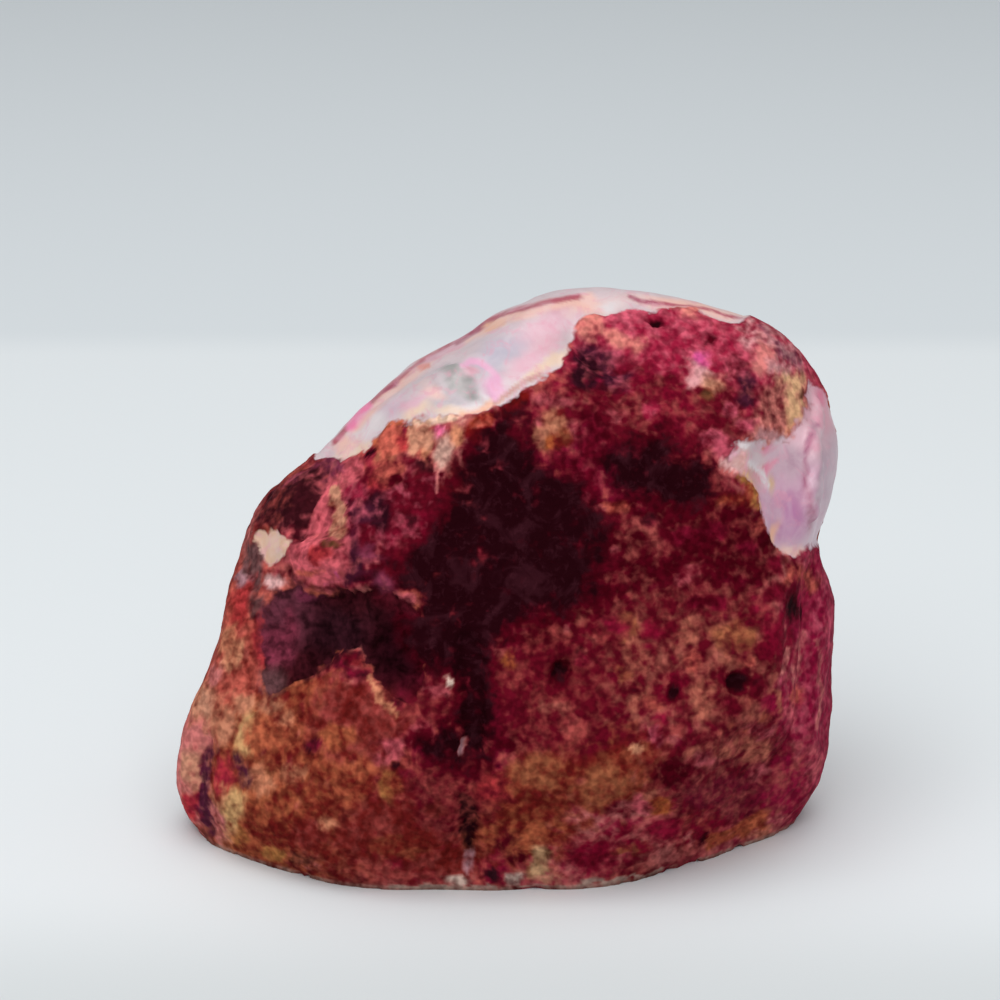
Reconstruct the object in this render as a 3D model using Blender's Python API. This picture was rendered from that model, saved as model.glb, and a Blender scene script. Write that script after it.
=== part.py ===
"""A rough agate nodule, sawn flat underneath so that it stands: one solid stone.

The stone is modelled from its greatest outline, which lies in a plane that leans back. Each point of
the surface is found along a ray from the stone's heart. The ray meets the rounded body first, then the
flat breaks that cut it down, and last the lumps, ledges, hollows and grooves on it. The sawn base is
one straight cut. Units are millimetres until the last step; across is +X, and the front looks to -Y.
"""

import math

import bmesh
import bpy
from mathutils import Vector, noise

MM = 0.001

# Driving dimensions.
LEAN_DEG = 18.0  # how far the greatest outline leans back from upright
HEART_HEIGHT = 28.2  # the heart's height above the sawn base
FRONT_DEPTH = 27.0  # from the leaning outline forward to the bulge of the front
BACK_DEPTH_TOP = 20.0  # and backward, near the top
BACK_DEPTH_FOOT = 36.0  # and near the foot
ROUNDNESS = 2.5  # 2 is an ellipsoid, and more is squarer
CELLS = 30  # squares along each side of the cube that the skin is stretched from
FURTHEST = 60.0  # longer than any ray from the heart to the skin
NEARBY = 0.5  # how far apart two points are taken to find the way the skin slopes
HALVINGS = 30  # steps in finding where a straight line meets the skin
LEAST_FACING = 0.2  # a break is left out where the ray runs nearly along it
SHARP_DEG = 40  # edges bent more than this stay crisp
MERGE = 0.02  # points this near the saw cut are moved onto it

# The greatest outline, seen square on, from the left foot clockwise: (across, up) from the heart.
OUTLINE = [
    (-39.8, -21.5), (-36.5, -11.0), (-35.0, -7.0), (-32.8, 3.0), (-30.2, 10.6),
    (-24.2, 15.3), (-21.6, 18.3), (-9.2, 29.8), (1.4, 35.2), (6.2, 36.7), (10.8, 36.9),
    (15.6, 36.1), (32.4, 30.9), (37.0, 25.6), (37.9, 22.6), (40.3, 16.8), (39.0, 13.4),
    (36.3, 6.9), (36.2, 5.2), (37.2, 3.4), (39.1, -3.5), (39.2, -9.0), (37.6, -24.0),
    (32.5, -30.0), (20.0, -35.0), (0.0, -37.5), (-22.0, -35.5), (-35.0, -30.5),
    (-39.3, -26.0),
]

# Flat breaks: (across, up, out) of the face's normal, how far it lies from the heart, and how softly
# its edges round over.
BREAKS = {
    "pale window": ((-0.53, 0.80, 0.28), 29.1, 0.5),
    "broad front": ((0.10, 0.04, 0.99), 25.0, 5.0),
    "left flank": ((-0.58, -0.12, 0.80), 29.4, 4.0),
    "low right": ((0.60, -0.61, 0.52), 34.9, 3.5),
    "low left": ((-0.60, -0.63, 0.49), 39.6, 3.0),
    "low front": ((0.06, -0.66, 0.75), 32.0, 4.0),
    "upper slope": ((0.18, 0.62, 0.76), 31.0, 2.0),
    "lilac break": ((0.78, 0.26, 0.57), 37.2, 0.6),
    "right flank": ((0.93, -0.06, 0.36), 36.0, 1.0),
    "shoulder": ((-0.74, 0.46, 0.49), 27.8, 0.8),
    "back": ((0.05, 0.26, -0.96), 26.0, 3.0),
    "back left": ((-0.66, 0.10, -0.74), 32.5, 2.0),
    "back right": ((0.74, 0.20, -0.64), 34.0, 2.0),
    "back top": ((-0.10, 0.80, -0.60), 31.0, 1.5),
}

# Lumps and hollows: middle (across, up), half sizes along the skin, turn in degrees, height (below 0
# is a hollow), how sharp the rim is, and the side of the stone.
RELIEF = {
    "shoulder block": ((-25.5, 8.5), (6.5, 6.5), -20, 1.6, 0.7, "front"),
    "shoulder ledge": ((-22.5, 4.8), (5.5, 1.8), -8, 1.7, 0.8, "front"),
    "wing hollow": ((-23.0, -3.5), (8.5, 5.0), 30, -2.0, 0.7, "front"),
    "second wing": ((-13.5, -7.0), (3.0, 6.5), 38, -1.4, 0.6, "front"),
    "dark basin": ((-4.0, 6.0), (10.0, 14.0), 10, -1.3, 0.2, "front"),
    "crack": ((-5.2, -13.0), (2.4, 13.0), 3, -2.0, 0.2, "front"),
    "crack foot": ((-5.0, -28.5), (2.2, 5.5), -6, -1.2, 0.2, "front"),
    "top hollow": ((10.8, 28.0), (4.2, 2.6), -38, -1.9, 0.5, "front"),
    "middle pit": ((6.0, -9.0), (1.9, 2.3), 0, -1.3, 0.4, "front"),
    "right pit": ((26.6, -10.0), (2.0, 2.4), 15, -1.3, 0.4, "front"),
    "low swell": ((13.0, -19.0), (13.0, 9.0), 0, 1.0, 0.1, "front"),
    "left swell": ((-24.0, -20.0), (11.0, 11.0), 0, 1.3, 0.1, "front"),
    "left furrow": ((-36.4, -21.0), (1.8, 9.0), -6, -1.3, 0.3, "front"),
    "right furrow": ((34.2, -10.0), (2.0, 15.0), 2, -1.2, 0.3, "front"),
    "lilac ridge": ((34.5, 15.5), (2.2, 9.0), 6, 1.2, 0.3, "front"),
    "lilac dish": ((31.0, 12.0), (4.0, 6.5), 28, -1.0, 0.5, "front"),
    "brow": ((22.0, 28.5), (13.0, 4.5), -12, 0.9, 0.2, "front"),
    "back chip": ((-12.0, 12.0), (14.0, 10.0), 25, -2.6, 0.7, "back"),
    "back hollow": ((16.0, -8.0), (10.0, 7.0), -30, -1.8, 0.5, "back"),
    "back swell": ((-14.0, -16.0), (14.0, 9.0), 10, 1.6, 0.1, "back"),
    "back ridge": ((6.0, 16.0), (3.0, 16.0), -20, 1.4, 0.2, "back"),
}

# The skin's own unevenness: (size of its bumps, how high they stand).
LUMPS = [(21.0, 1.0), (8.5, 0.55), (4.4, 0.30)]
NOISE_PLACE = 3.7  # where in the noise the bumps are taken from

lean = math.radians(LEAN_DEG)
ACROSS = Vector((1, 0, 0))
UP = Vector((0, math.sin(lean), math.cos(lean)))
OUT = Vector((0, -math.cos(lean), math.sin(lean)))


def outline_reach():
    """The outline as (angle, radius) round the heart, with one turn more at each end."""
    polar = sorted((math.atan2(up, across), math.hypot(across, up)) for across, up in OUTLINE)
    before = [(angle - 2 * math.pi, radius) for angle, radius in polar[-3:]]
    after = [(angle + 2 * math.pi, radius) for angle, radius in polar[:3]]
    return before + polar + after


REACH = outline_reach()


def reach_at(angle):
    """The outline's radius at an angle, on a smooth curve through its points."""
    k = next(i for i in range(2, len(REACH)) if REACH[i][0] >= angle)
    (a0, r0), (a1, r1), (a2, r2), (a3, r3) = REACH[k - 2 : k + 2]
    t = (angle - a1) / (a2 - a1)
    slope1 = (r2 - r0) / (a2 - a0) * (a2 - a1)
    slope2 = (r3 - r1) / (a3 - a1) * (a2 - a1)
    return (
        (2 * t**3 - 3 * t**2 + 1) * r1
        + (t**3 - 2 * t**2 + t) * slope1
        + (3 * t**2 - 2 * t**3) * r2
        + (t**3 - t**2) * slope2
    )


def smooth_step(low, high, value):
    t = min(1.0, max(0.0, (value - low) / (high - low)))
    return t * t * (3 - 2 * t)


def lesser(a, b, softness):
    """The lesser of two lengths, rounded over where they are close."""
    overlap = max(0.0, softness - abs(a - b)) / softness
    return min(a, b) - overlap * overlap * softness / 4


def body_reach(across, up, out):
    """How far the rounded body reaches along a unit direction."""
    in_plane = math.hypot(across, up)
    radius = reach_at(math.atan2(up, across))
    if out >= 0:
        depth = FRONT_DEPTH
    else:
        depth = BACK_DEPTH_TOP + (BACK_DEPTH_FOOT - BACK_DEPTH_TOP) * (0.5 - 0.5 * up)
    filled = (in_plane / radius) ** ROUNDNESS + (abs(out) / depth) ** ROUNDNESS
    return filled ** (-1 / ROUNDNESS)


def broken_reach(direction, reach):
    """The same, cut down to the flat breaks."""
    for normal, distance, softness in BREAKS.values():
        facing = direction.dot(Vector(normal).normalized())
        if facing > LEAST_FACING:
            reach = lesser(reach, distance / facing, softness)
    return reach


def met_from(across, up, side):
    """The point of the broken body met square on from the front (side 1) or the back (side -1)."""
    low, high = 0.0, FURTHEST
    for _ in range(HALVINGS):
        out = (low + high) / 2
        point = Vector((across, up, side * out))
        inside = point.length < broken_reach(point.normalized(), body_reach(*point.normalized()))
        low, high = (out, high) if inside else (low, out)
    return Vector((across, up, side * low))


def lie_on_skin():
    """Each lump and hollow with its middle on the skin and two axes along the skin."""
    laid = []
    for (across, up), halves, turn, height, sharpness, side_name in RELIEF.values():
        side = 1 if side_name == "front" else -1
        middle = met_from(across, up, side)
        right = met_from(across + NEARBY, up, side) - middle
        above = met_from(across, up + NEARBY, side) - middle
        normal = right.cross(above).normalized()
        angle = math.radians(turn)
        along = right.normalized() * math.cos(angle) + above.normalized() * math.sin(angle)
        along = (along - normal * along.dot(normal)).normalized()
        laid.append((middle, along, normal.cross(along), normal, halves, height, sharpness))
    return laid


def relief_at(point, laid):
    """How far the lumps and hollows move a point of the skin outward.

    Each stands full height inside a share of its half sizes, and has died away a little past them.
    A sharper one keeps its height further out and then drops sooner.
    """
    moved = 0.0
    for middle, along, beside, normal, (half_a, half_b), height, sharpness in laid:
        away = point - middle
        depth = away.dot(normal) / max(half_a, half_b)
        spread = math.hypot(away.dot(along) / half_a, away.dot(beside) / half_b, depth)
        full_within = 0.9 * sharpness
        gone_by = 1.35 - 0.2 * sharpness
        moved += height * (1 - smooth_step(full_within, gone_by, spread))
    return moved


def unevenness_at(point):
    """The skin's own bumps at a point, each size of them from a different stretch of the noise."""
    return sum(
        height * noise.noise(point / size + Vector((size, 0, NOISE_PLACE))) for size, height in LUMPS
    )


def skin_point(direction, laid):
    """The stone's surface along a direction given as (across, up, out)."""
    reach = broken_reach(direction, body_reach(*direction))
    point = direction * reach
    return direction * (reach + relief_at(point, laid) + unevenness_at(point))


def stone_mesh():
    """The skin as squares stretched from a cube, with the sawn base cut and closed."""
    bm = bmesh.new()
    bmesh.ops.create_cube(bm, size=2)
    bmesh.ops.subdivide_edges(bm, edges=bm.edges[:], cuts=CELLS - 1, use_grid_fill=True)
    laid = lie_on_skin()
    for vert in bm.verts:
        even = Vector(math.tan(side * math.pi / 4) for side in vert.co)
        across, up, out = skin_point(even.normalized(), laid)
        vert.co = ACROSS * across + UP * up + OUT * out + Vector((0, 0, HEART_HEIGHT))
    everything = bm.verts[:] + bm.edges[:] + bm.faces[:]
    cut = bmesh.ops.bisect_plane(
        bm, geom=everything, dist=MERGE, plane_co=(0, 0, 0), plane_no=(0, 0, 1), clear_inner=True
    )
    rim = [part for part in cut["geom_cut"] if isinstance(part, bmesh.types.BMEdge)]
    for vert in {vert for edge in rim for vert in edge.verts}:
        vert.co.z = 0
    bmesh.ops.contextual_create(bm, geom=rim)
    bmesh.ops.recalc_face_normals(bm, faces=bm.faces[:])
    centre_over_base(bm)
    mesh = bpy.data.meshes.new("agate_stone")
    bm.to_mesh(mesh)
    bm.free()
    mesh.shade_smooth()
    mesh.set_sharp_from_angle(angle=math.radians(SHARP_DEG))
    return mesh


def centre_over_base(bm):
    """Moves the stone so that the middle of its box stands over the origin, and sets it in metres."""
    middle = [(max(v.co[k] for v in bm.verts) + min(v.co[k] for v in bm.verts)) / 2 for k in (0, 1)]
    for vert in bm.verts:
        vert.co = (vert.co - Vector((*middle, 0))) * MM


def dyed_rind():
    """The dyed rind: dark crimson, dull, with a faint gloss."""
    material = bpy.data.materials.new("dyed_rind")
    material.use_nodes = True
    shader = material.node_tree.nodes["Principled BSDF"]
    shader.inputs["Base Color"].default_value = (0.20, 0.035, 0.045, 1)
    shader.inputs["Roughness"].default_value = 0.5
    shader.inputs["Metallic"].default_value = 0.0
    return material


def main():
    for old in list(bpy.data.objects):
        bpy.data.objects.remove(old)
    mesh = stone_mesh()
    mesh.materials.append(dyed_rind())
    stone = bpy.data.objects.new("agate_stone", mesh)
    bpy.context.scene.collection.objects.link(stone)


main()
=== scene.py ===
import math

import bmesh
import bpy
import numpy as np
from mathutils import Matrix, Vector, noise


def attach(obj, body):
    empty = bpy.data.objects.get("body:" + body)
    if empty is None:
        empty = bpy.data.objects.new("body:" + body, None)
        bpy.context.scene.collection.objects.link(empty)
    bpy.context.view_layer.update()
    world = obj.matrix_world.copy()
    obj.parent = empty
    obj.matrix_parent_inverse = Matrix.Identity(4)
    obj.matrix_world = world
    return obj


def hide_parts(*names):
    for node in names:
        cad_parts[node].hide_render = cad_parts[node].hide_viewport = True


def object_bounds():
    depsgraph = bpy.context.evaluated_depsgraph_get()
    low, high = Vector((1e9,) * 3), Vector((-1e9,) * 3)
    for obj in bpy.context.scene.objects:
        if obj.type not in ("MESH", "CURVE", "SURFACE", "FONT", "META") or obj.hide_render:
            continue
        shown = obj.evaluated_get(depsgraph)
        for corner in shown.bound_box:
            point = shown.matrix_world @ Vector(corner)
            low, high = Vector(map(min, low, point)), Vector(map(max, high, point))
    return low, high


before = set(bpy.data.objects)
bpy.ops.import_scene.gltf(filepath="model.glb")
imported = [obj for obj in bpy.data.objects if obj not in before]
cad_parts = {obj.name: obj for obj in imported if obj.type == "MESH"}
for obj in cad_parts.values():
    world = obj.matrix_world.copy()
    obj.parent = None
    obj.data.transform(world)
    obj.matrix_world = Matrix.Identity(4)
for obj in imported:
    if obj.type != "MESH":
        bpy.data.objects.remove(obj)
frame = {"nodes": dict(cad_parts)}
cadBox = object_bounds()
print("frame loaded:", ", ".join(frame["nodes"]))

mm = 0.001

# where the stone is looked at from; the marks below are placed as they are seen from here, in mm
view = {
    "heart": (0.34, 1.14, 27.77),  # middle of the stone, which the marks are measured from
    "distance": 400.0,
    "elevation": 18.0,  # degrees above level
    "aside": -1.19,  # how far the eye stands to the left
    "pitch": 16.29,  # how far below level it looks
    "lens": 120.8,
    "sensor": 36.0,
}


def eyeFrame():  # the eye's place and its right, up and forward directions, in mm
    lift = math.radians(view["elevation"])
    tilt = math.radians(view["pitch"])
    back = np.array([0.0, -math.cos(lift), math.sin(lift)]) * view["distance"]
    eye = np.array(view["heart"]) + back + np.array([view["aside"], 0.0, 0.0])
    right = np.array([1.0, 0.0, 0.0])
    up = np.array([0.0, math.sin(tilt), math.cos(tilt)])
    forward = np.array([0.0, math.cos(tilt), -math.sin(tilt)])
    return eye, right, up, forward


def addCamera():
    eye, _, _, _ = eyeFrame()
    data = bpy.data.cameras.new("camera")
    data.lens = view["lens"]
    data.sensor_width = view["sensor"]
    data.clip_start = 0.01
    camera = bpy.data.objects.new("camera", data)
    camera.location = eye * mm
    camera.rotation_euler = (math.radians(90 - view["pitch"]), 0, 0)
    bpy.context.scene.collection.objects.link(camera)
    bpy.context.scene.camera = camera


def asSeen(points):  # places across and up from the heart, in mm at the heart's distance
    eye, right, up, forward = eyeFrame()
    heart = np.array(view["heart"]) - eye
    away = points - eye
    scale = (heart @ forward) / (away @ forward)
    return np.stack([away @ right * scale - heart @ right, away @ up * scale - heart @ up], axis=1)


def smoothStep(low, high, value):
    t = np.clip((value - low) / (high - low), 0, 1)
    return t * t * (3 - 2 * t)


def bumps(points, size, start=0.0):  # smooth noise in about -1..1, with lumps of that size in mm
    moved = points / size + np.array([start, 0.37 * start, -start])
    return np.array([noise.noise(point) for point in moved.tolist()])


def distanceToPath(places, path, closed=False):
    path = np.array(path, float)
    ends = list(zip(path, np.roll(path, -1, axis=0)))
    if not closed:
        ends = ends[:-1]
    nearest = np.full(len(places), 1e9)
    for a, b in ends:
        along = np.clip((places - a) @ (b - a) / ((b - a) @ (b - a)), 0, 1)
        nearest = np.minimum(nearest, np.linalg.norm(places - a - along[:, None] * (b - a), axis=1))
    return nearest


def insideBy(places, outline):  # mm inside a closed outline, below 0 outside it
    x, y = places.T
    inside = np.zeros(len(places), bool)
    corners = np.array(outline, float)
    for (x0, y0), (x1, y1) in zip(corners, np.roll(corners, -1, axis=0)):
        if y0 != y1:
            inside ^= ((y0 > y) != (y1 > y)) & (x < (x1 - x0) * (y - y0) / (y1 - y0) + x0)
    distance = distanceToPath(places, outline, closed=True)
    return np.where(inside, distance, -distance)


def dab(places, middle, halves, feather=0.5, turn=0.0):  # 1 inside an ellipse, fading out over its rim
    angle = math.radians(turn)
    across, up = (places - np.array(middle)).T
    along = (across * math.cos(angle) + up * math.sin(angle)) / halves[0]
    beside = (up * math.cos(angle) - across * math.sin(angle)) / halves[1]
    return 1 - smoothStep(1 - feather, 1 + feather, np.hypot(along, beside))


def tint(red, green, blue):  # a screen colour, 0 to 255, as the linear colour that shaders take
    shares = np.array([red, green, blue]) / 255
    linear = np.where(shares <= 0.04045, shares / 12.92, ((shares + 0.055) / 1.055) ** 2.4)
    return (*[float(share) for share in linear], 1.0)


skinShape = {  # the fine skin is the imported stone's own form at a finer grain
    "node": "agate_stone",
    "cuts": 3,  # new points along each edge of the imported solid
    "smoothing": 9,  # passes that take the flats off
    "smoothingShare": 0.5,
    "flatBelow": 0.35,  # mm: what lies lower than this is drawn down to the sawn face
    "sawnFacing": (0.8, 0.95),  # how squarely the sawn face looks down
    "sawnBelow": 1.0,  # mm
}


def fineSkin():
    shape = bmesh.new()
    shape.from_mesh(frame["nodes"][skinShape["node"]].data)
    bmesh.ops.remove_doubles(shape, verts=shape.verts, dist=0.001 * mm)
    bmesh.ops.triangulate(shape, faces=shape.faces)
    bmesh.ops.subdivide_edges(shape, edges=shape.edges, cuts=skinShape["cuts"], use_grid_fill=True)
    for _ in range(skinShape["smoothing"]):
        bmesh.ops.smooth_vert(
            shape, verts=shape.verts, factor=skinShape["smoothingShare"],
            use_axis_x=True, use_axis_y=True, use_axis_z=True,
        )
    mesh = bpy.data.meshes.new("agate_skin")
    shape.to_mesh(mesh)
    shape.free()
    skin = bpy.data.objects.new("agate_skin", mesh)
    bpy.context.scene.collection.objects.link(skin)
    return skin


def readPoints(mesh):
    points = np.empty(len(mesh.vertices) * 3)
    mesh.vertices.foreach_get("co", points)
    normals = np.empty(len(mesh.vertices) * 3)
    mesh.vertices.foreach_get("normal", normals)
    return points.reshape(-1, 3) / mm, normals.reshape(-1, 3)


def writePoints(mesh, points):
    mesh.vertices.foreach_set("co", (points * mm).ravel())
    mesh.update()


addCamera()
skin = fineSkin()
points, normals = readPoints(skin.data)
print("skin:", len(points), "points,", len(skin.data.polygons), "faces")

sawn = smoothStep(*skinShape["sawnFacing"], -normals[:, 2]) * (points[:, 2] < skinShape["sawnBelow"])
points[:, 2] = np.where(points[:, 2] < skinShape["flatBelow"], 0.0, points[:, 2])

placing = {  # noise is given as the size of its lumps and its reach, in mm, and where it starts
    "stir": [(3.4, 0.7, 11.0), (1.1, 0.35, 31.0)],  # moves each mark a little, so that no edge runs true
    "wideStir": (8.0, 1.3, 51.0),  # and the broad marks further
    "wideShare": 1.2,
    "breakShare": 0.6,  # the edges of the bare breaks take less of it
    "frontFacing": (-0.12, 0.06),  # marks fade out between these, where the surface turns away
    "farSide": (0.42, 9.0),  # bare breaks run on past the turn: how far, and mm for each unit of facing
    "farEdge": [(7.0, 2.4, 71.0), (3.0, 1.2, 73.0)],
    "ragged": [(1.8, 0.7, 77.0), (0.9, 0.6, 79.0)],
}


def wander(size, reach, start):  # a smooth shift across and up
    return np.stack([bumps(points, size, start), bumps(points, size, start + 12)], axis=1) * reach


# every point's place as seen from the front, as it is and stirred
seen = asSeen(points)
stir = wander(*placing["stir"][0]) + wander(*placing["stir"][1])
stirred = seen + stir
wide = seen + wander(*placing["wideStir"]) + stir * placing["wideShare"]
toEye = eyeFrame()[0] - points
toEye /= np.linalg.norm(toEye, axis=1)[:, None]
facing = (normals * toEye).sum(axis=1)
front = smoothStep(*placing["frontFacing"], facing) * (1 - sawn)
around = (facing + placing["farSide"][0]) * placing["farSide"][1]  # about how many mm before the far side
for size, reach, start in placing["farEdge"]:
    around += reach * bumps(points, size, start)
ragged = sum(reach * bumps(points, size, start) for size, reach, start in placing["ragged"])

bareBreaks = {  # where the rind is gone and pale chalcedony shows
    "pale window": [
        (-22.8, 16.9), (-19.6, 16.8), (-17.6, 17.6), (-16.7, 18.5), (-15.8, 19.5), (-15.3, 20.3),
        (-14.8, 20.9), (-13.7, 21.4), (-12.5, 21.3), (-11.7, 21.8), (-10.7, 22.1), (-9.5, 21.5),
        (-8.3, 21.5), (-7.4, 21.9), (-6.2, 21.9), (-5.4, 21.9), (-4.8, 22.3), (-3.8, 22.5),
        (-2.9, 22.8), (-1.5, 23.3), (-0.6, 23.8), (0.6, 24.5), (1.8, 25.2), (3.0, 25.8), (4.2, 26.7),
        (5.4, 27.4), (6.2, 28.0), (6.6, 29.0), (7.1, 29.9), (7.4, 31.0), (7.8, 32.2), (8.4, 33.4),
        (9.8, 34.2), (11.2, 33.9), (12.9, 34.2), (14.5, 34.6), (16.1, 34.4), (17.3, 34.5), (18.4, 35.0),
        (19.6, 35.1), (21.4, 34.7), (22.6, 34.3), (24.0, 33.8), (25.6, 33.3), (26.8, 33.1),
        (28.3, 33.6), (29.3, 35.7), (22.6, 39.0), (10.7, 40.2), (-7.1, 38.7), (-21.4, 27.4),
        (-24.3, 19.0),
    ],
    "lilac break": [
        (37.6, 29.0), (36.3, 27.8), (35.6, 26.2), (35.5, 23.8), (35.0, 22.1), (34.2, 20.9),
        (33.3, 20.0), (32.4, 19.0), (30.9, 18.7), (29.3, 18.9), (27.8, 18.9), (27.4, 18.3),
        (26.8, 17.6), (26.5, 16.3), (27.3, 15.6), (28.1, 14.6), (28.9, 13.9), (29.5, 12.9),
        (29.9, 11.5), (30.1, 10.1), (30.5, 8.6), (31.1, 7.3), (31.8, 6.2), (32.7, 5.4), (33.9, 5.1),
        (35.2, 5.7), (36.2, 6.5), (39.3, 6.2), (44.6, 15.5), (42.8, 25.0), (39.9, 29.8),
    ],
    "cream facet": [(-30.5, 8.0), (-28.6, 8.6), (-26.2, 7.1), (-26.8, 5.3), (-28.8, 4.0), (-30.0, 5.8)],
}

breakEnds = {"lilac break": (-6.0, 43.0, 15.0)}  # behind this y it closes round this height, in mm
endNoise = (5.0, 1.8, 87.0)
cornerSize = 2.0  # mm, how rounded the corners of a break are

frays = {  # where an edge breaks up gradually: how much, and middle and half sizes
    "share": 0.68,
    "places": [((34.0, 21.4), (3.4, 4.8)), ((28.0, 17.6), (3.6, 2.6)), ((-10.6, 21.4), (4.0, 1.2))],
}


def bareAt():  # mm inside a bare break, below 0 on the rind
    inside = np.full(len(points), -50.0)
    for name, outline in bareBreaks.items():
        here = insideBy(seen + placing["breakShare"] * stir, outline)
        if name in breakEnds:
            back, height, reach = breakEnds[name]
            size, swing, start = endNoise
            away = np.hypot(np.maximum(points[:, 1] - back, 0), points[:, 2] - height)
            here = np.minimum(here, reach - away + swing * bumps(points, size, start))
        inside = np.maximum(inside, here)
    inside = -cornerSize * np.logaddexp(-inside / cornerSize, -around / cornerSize)  # the smaller of the two
    for middle, halves in frays["places"]:
        inside *= 1 - frays["share"] * dab(seen, middle, halves)
    return inside


relief = {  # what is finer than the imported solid: heights in mm, outward
    "bareDepth": 0.20,  # the breaks lie this far below the rind
    "step": 0.25,  # half the width of the step between them
    "lip": 0.12,  # the rind stands up along the breaks, this far from the step
    "lipPlace": 0.5,
    "lipWidth": 0.8,
    "wingDepth": 0.38,
    "wingStep": (-0.25, 0.45),
    "grain": [(5.2, 0.20), (2.1, 0.13), (0.95, 0.09)],  # size of the rind's bumps, and their height
    "bareGrain": [(4.6, 0.22), (1.8, 0.07)],
    "calmFoot": (0.1, 3.0),  # the share left at the foot, and the height in mm where relief is whole
}

swells = {  # middle in mm, reach, height
    "lilac": ((39.0, 1.0, 46.5), 10.0, 0.55),
}

wings = [  # outline of the two smooth hollows on the left
    (-26.0, 2.4), (-28.8, 1.2), (-29.4, -2.5), (-29.9, -6.7), (-30.1, -9.5), (-29.1, -11.6),
    (-27.2, -10.6), (-23.2, -8.6), (-21.0, -6.7), (-19.5, -5.5), (-18.1, -5.7), (-16.4, -9.3),
    (-14.2, -11.4), (-13.0, -12.4), (-10.6, -12.0), (-10.0, -8.6), (-9.5, -6.0), (-10.0, -1.0),
    (-14.0, 1.2), (-16.6, 1.4), (-19.4, 0.8), (-21.5, 0.4), (-23.6, 0.7),
]

pits = {  # middle, half sizes, depth
    "middle": ((6.0, -9.0), (1.0, 1.4), 0.7),
    "mid right": ((19.6, -10.8), (0.7, 1.2), 0.6),
    "right": ((26.8, -9.9), (1.0, 0.9), 0.7),
    "brow": ((17.2, 33.4), (0.8, 0.42), 0.55),
    "brow right": ((23.9, 31.3), (0.7, 0.7), 0.3),
    "purple": ((28.1, 25.3), (1.4, 1.6), 0.25),
    "slot": ((17.6, 17.9), (0.9, 1.5), 0.6),
    "cheek": ((-16.1, 10.1), (1.6, 1.6), 0.3),
    "window hollow": ((-6.5, 25.6), (2.6, 1.4), 0.45),
    "lobe left": ((-9.4, -17.6), (1.6, 1.2), 0.4),
    "lobe right": ((-3.9, -17.3), (1.6, 1.6), 0.4),
    "low blotch": ((19.4, -20.5), (1.8, 1.2), 0.4),
}

grooves = {  # path, half width, depth
    "drip": ([(-4.8, -5.0), (-4.2, -11.0), (-5.0, -19.0)], 1.1, 0.7),
    "foot": ([(-5.4, -23.6), (-5.2, -27.0), (-4.4, -31.0)], 0.7, 0.4),
    "right crease": ([(34.6, 4.6), (34.9, -6.0), (34.4, -16.0), (34.9, -26.0)], 1.6, 0.08),
    "ledge shadow": ([(-26.8, 1.8), (-23.4, 0.7), (-20.0, 0.4), (-16.0, 0.8)], 0.6, 0.5),
    "cheek edge": ([(-22.0, 15.0), (-23.6, 11.0), (-25.2, 7.6)], 0.6, 0.5),
    "left stripe": ([(-36.6, -17.4), (-37.3, -23.0), (-36.4, -27.6)], 0.9, 0.6),
    "small stripe": ([(-32.0, -19.4), (-32.6, -23.2)], 0.6, 0.4),
    "top hollow": ([(8.6, 29.6), (10.6, 27.6), (13.6, 26.2)], 2.2, 0.2),
    "lilac fold": ([(36.4, 24.0), (36.2, 18.0), (36.0, 10.0)], 0.5, -0.7),
    "diagonal": ([(-16.2, -9.8), (-13.2, -13.8)], 0.6, -0.3),
    "swirl": ([(-8.4, 26.6), (-6.2, 27.6), (-4.0, 26.4), (-3.0, 24.6)], 0.7, -0.35),
}


def reliefAt():
    isBare = smoothStep(-relief["step"], relief["step"], bare)
    height = -relief["bareDepth"] * isBare
    height += relief["lip"] * np.exp(-((bare + relief["lipPlace"]) / relief["lipWidth"]) ** 2) * (1 - isBare)
    height -= relief["wingDepth"] * smoothStep(*relief["wingStep"], wing)
    for middle, halves, depth in pits.values():
        height -= depth * front * dab(stirred, middle, halves, feather=0.6)
    for middle, reach, rise in swells.values():
        height += rise * np.exp(-((points - np.array(middle)) ** 2).sum(axis=1) / reach**2 * 2)
    for path, halfWidth, depth in grooves.values():
        across = distanceToPath(stirred, path)
        height -= depth * front * (1 - smoothStep(0.2 * halfWidth, 1.8 * halfWidth, across))
    for size, amount in relief["grain"]:
        height += amount * bumps(points, size, size) * (1 - isBare)
    for size, amount in relief["bareGrain"]:
        height += amount * bumps(points, size, 7 * size) * isBare
    share, whole = relief["calmFoot"]
    return height * (1 - sawn) * (share + (1 - share) * smoothStep(0.0, whole, points[:, 2]))


bare = bareAt()
wing = insideBy(stirred, wings) * front - 3 * (1 - front)
points += normals * reliefAt()[:, None]
points[:, 2] = np.where(sawn > 0.5, 0.0, points[:, 2])
low, high = (np.array(corner) / mm for corner in cadBox)
points = np.clip(points, low, high)
writePoints(skin.data, points)
print("relief laid")

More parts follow.
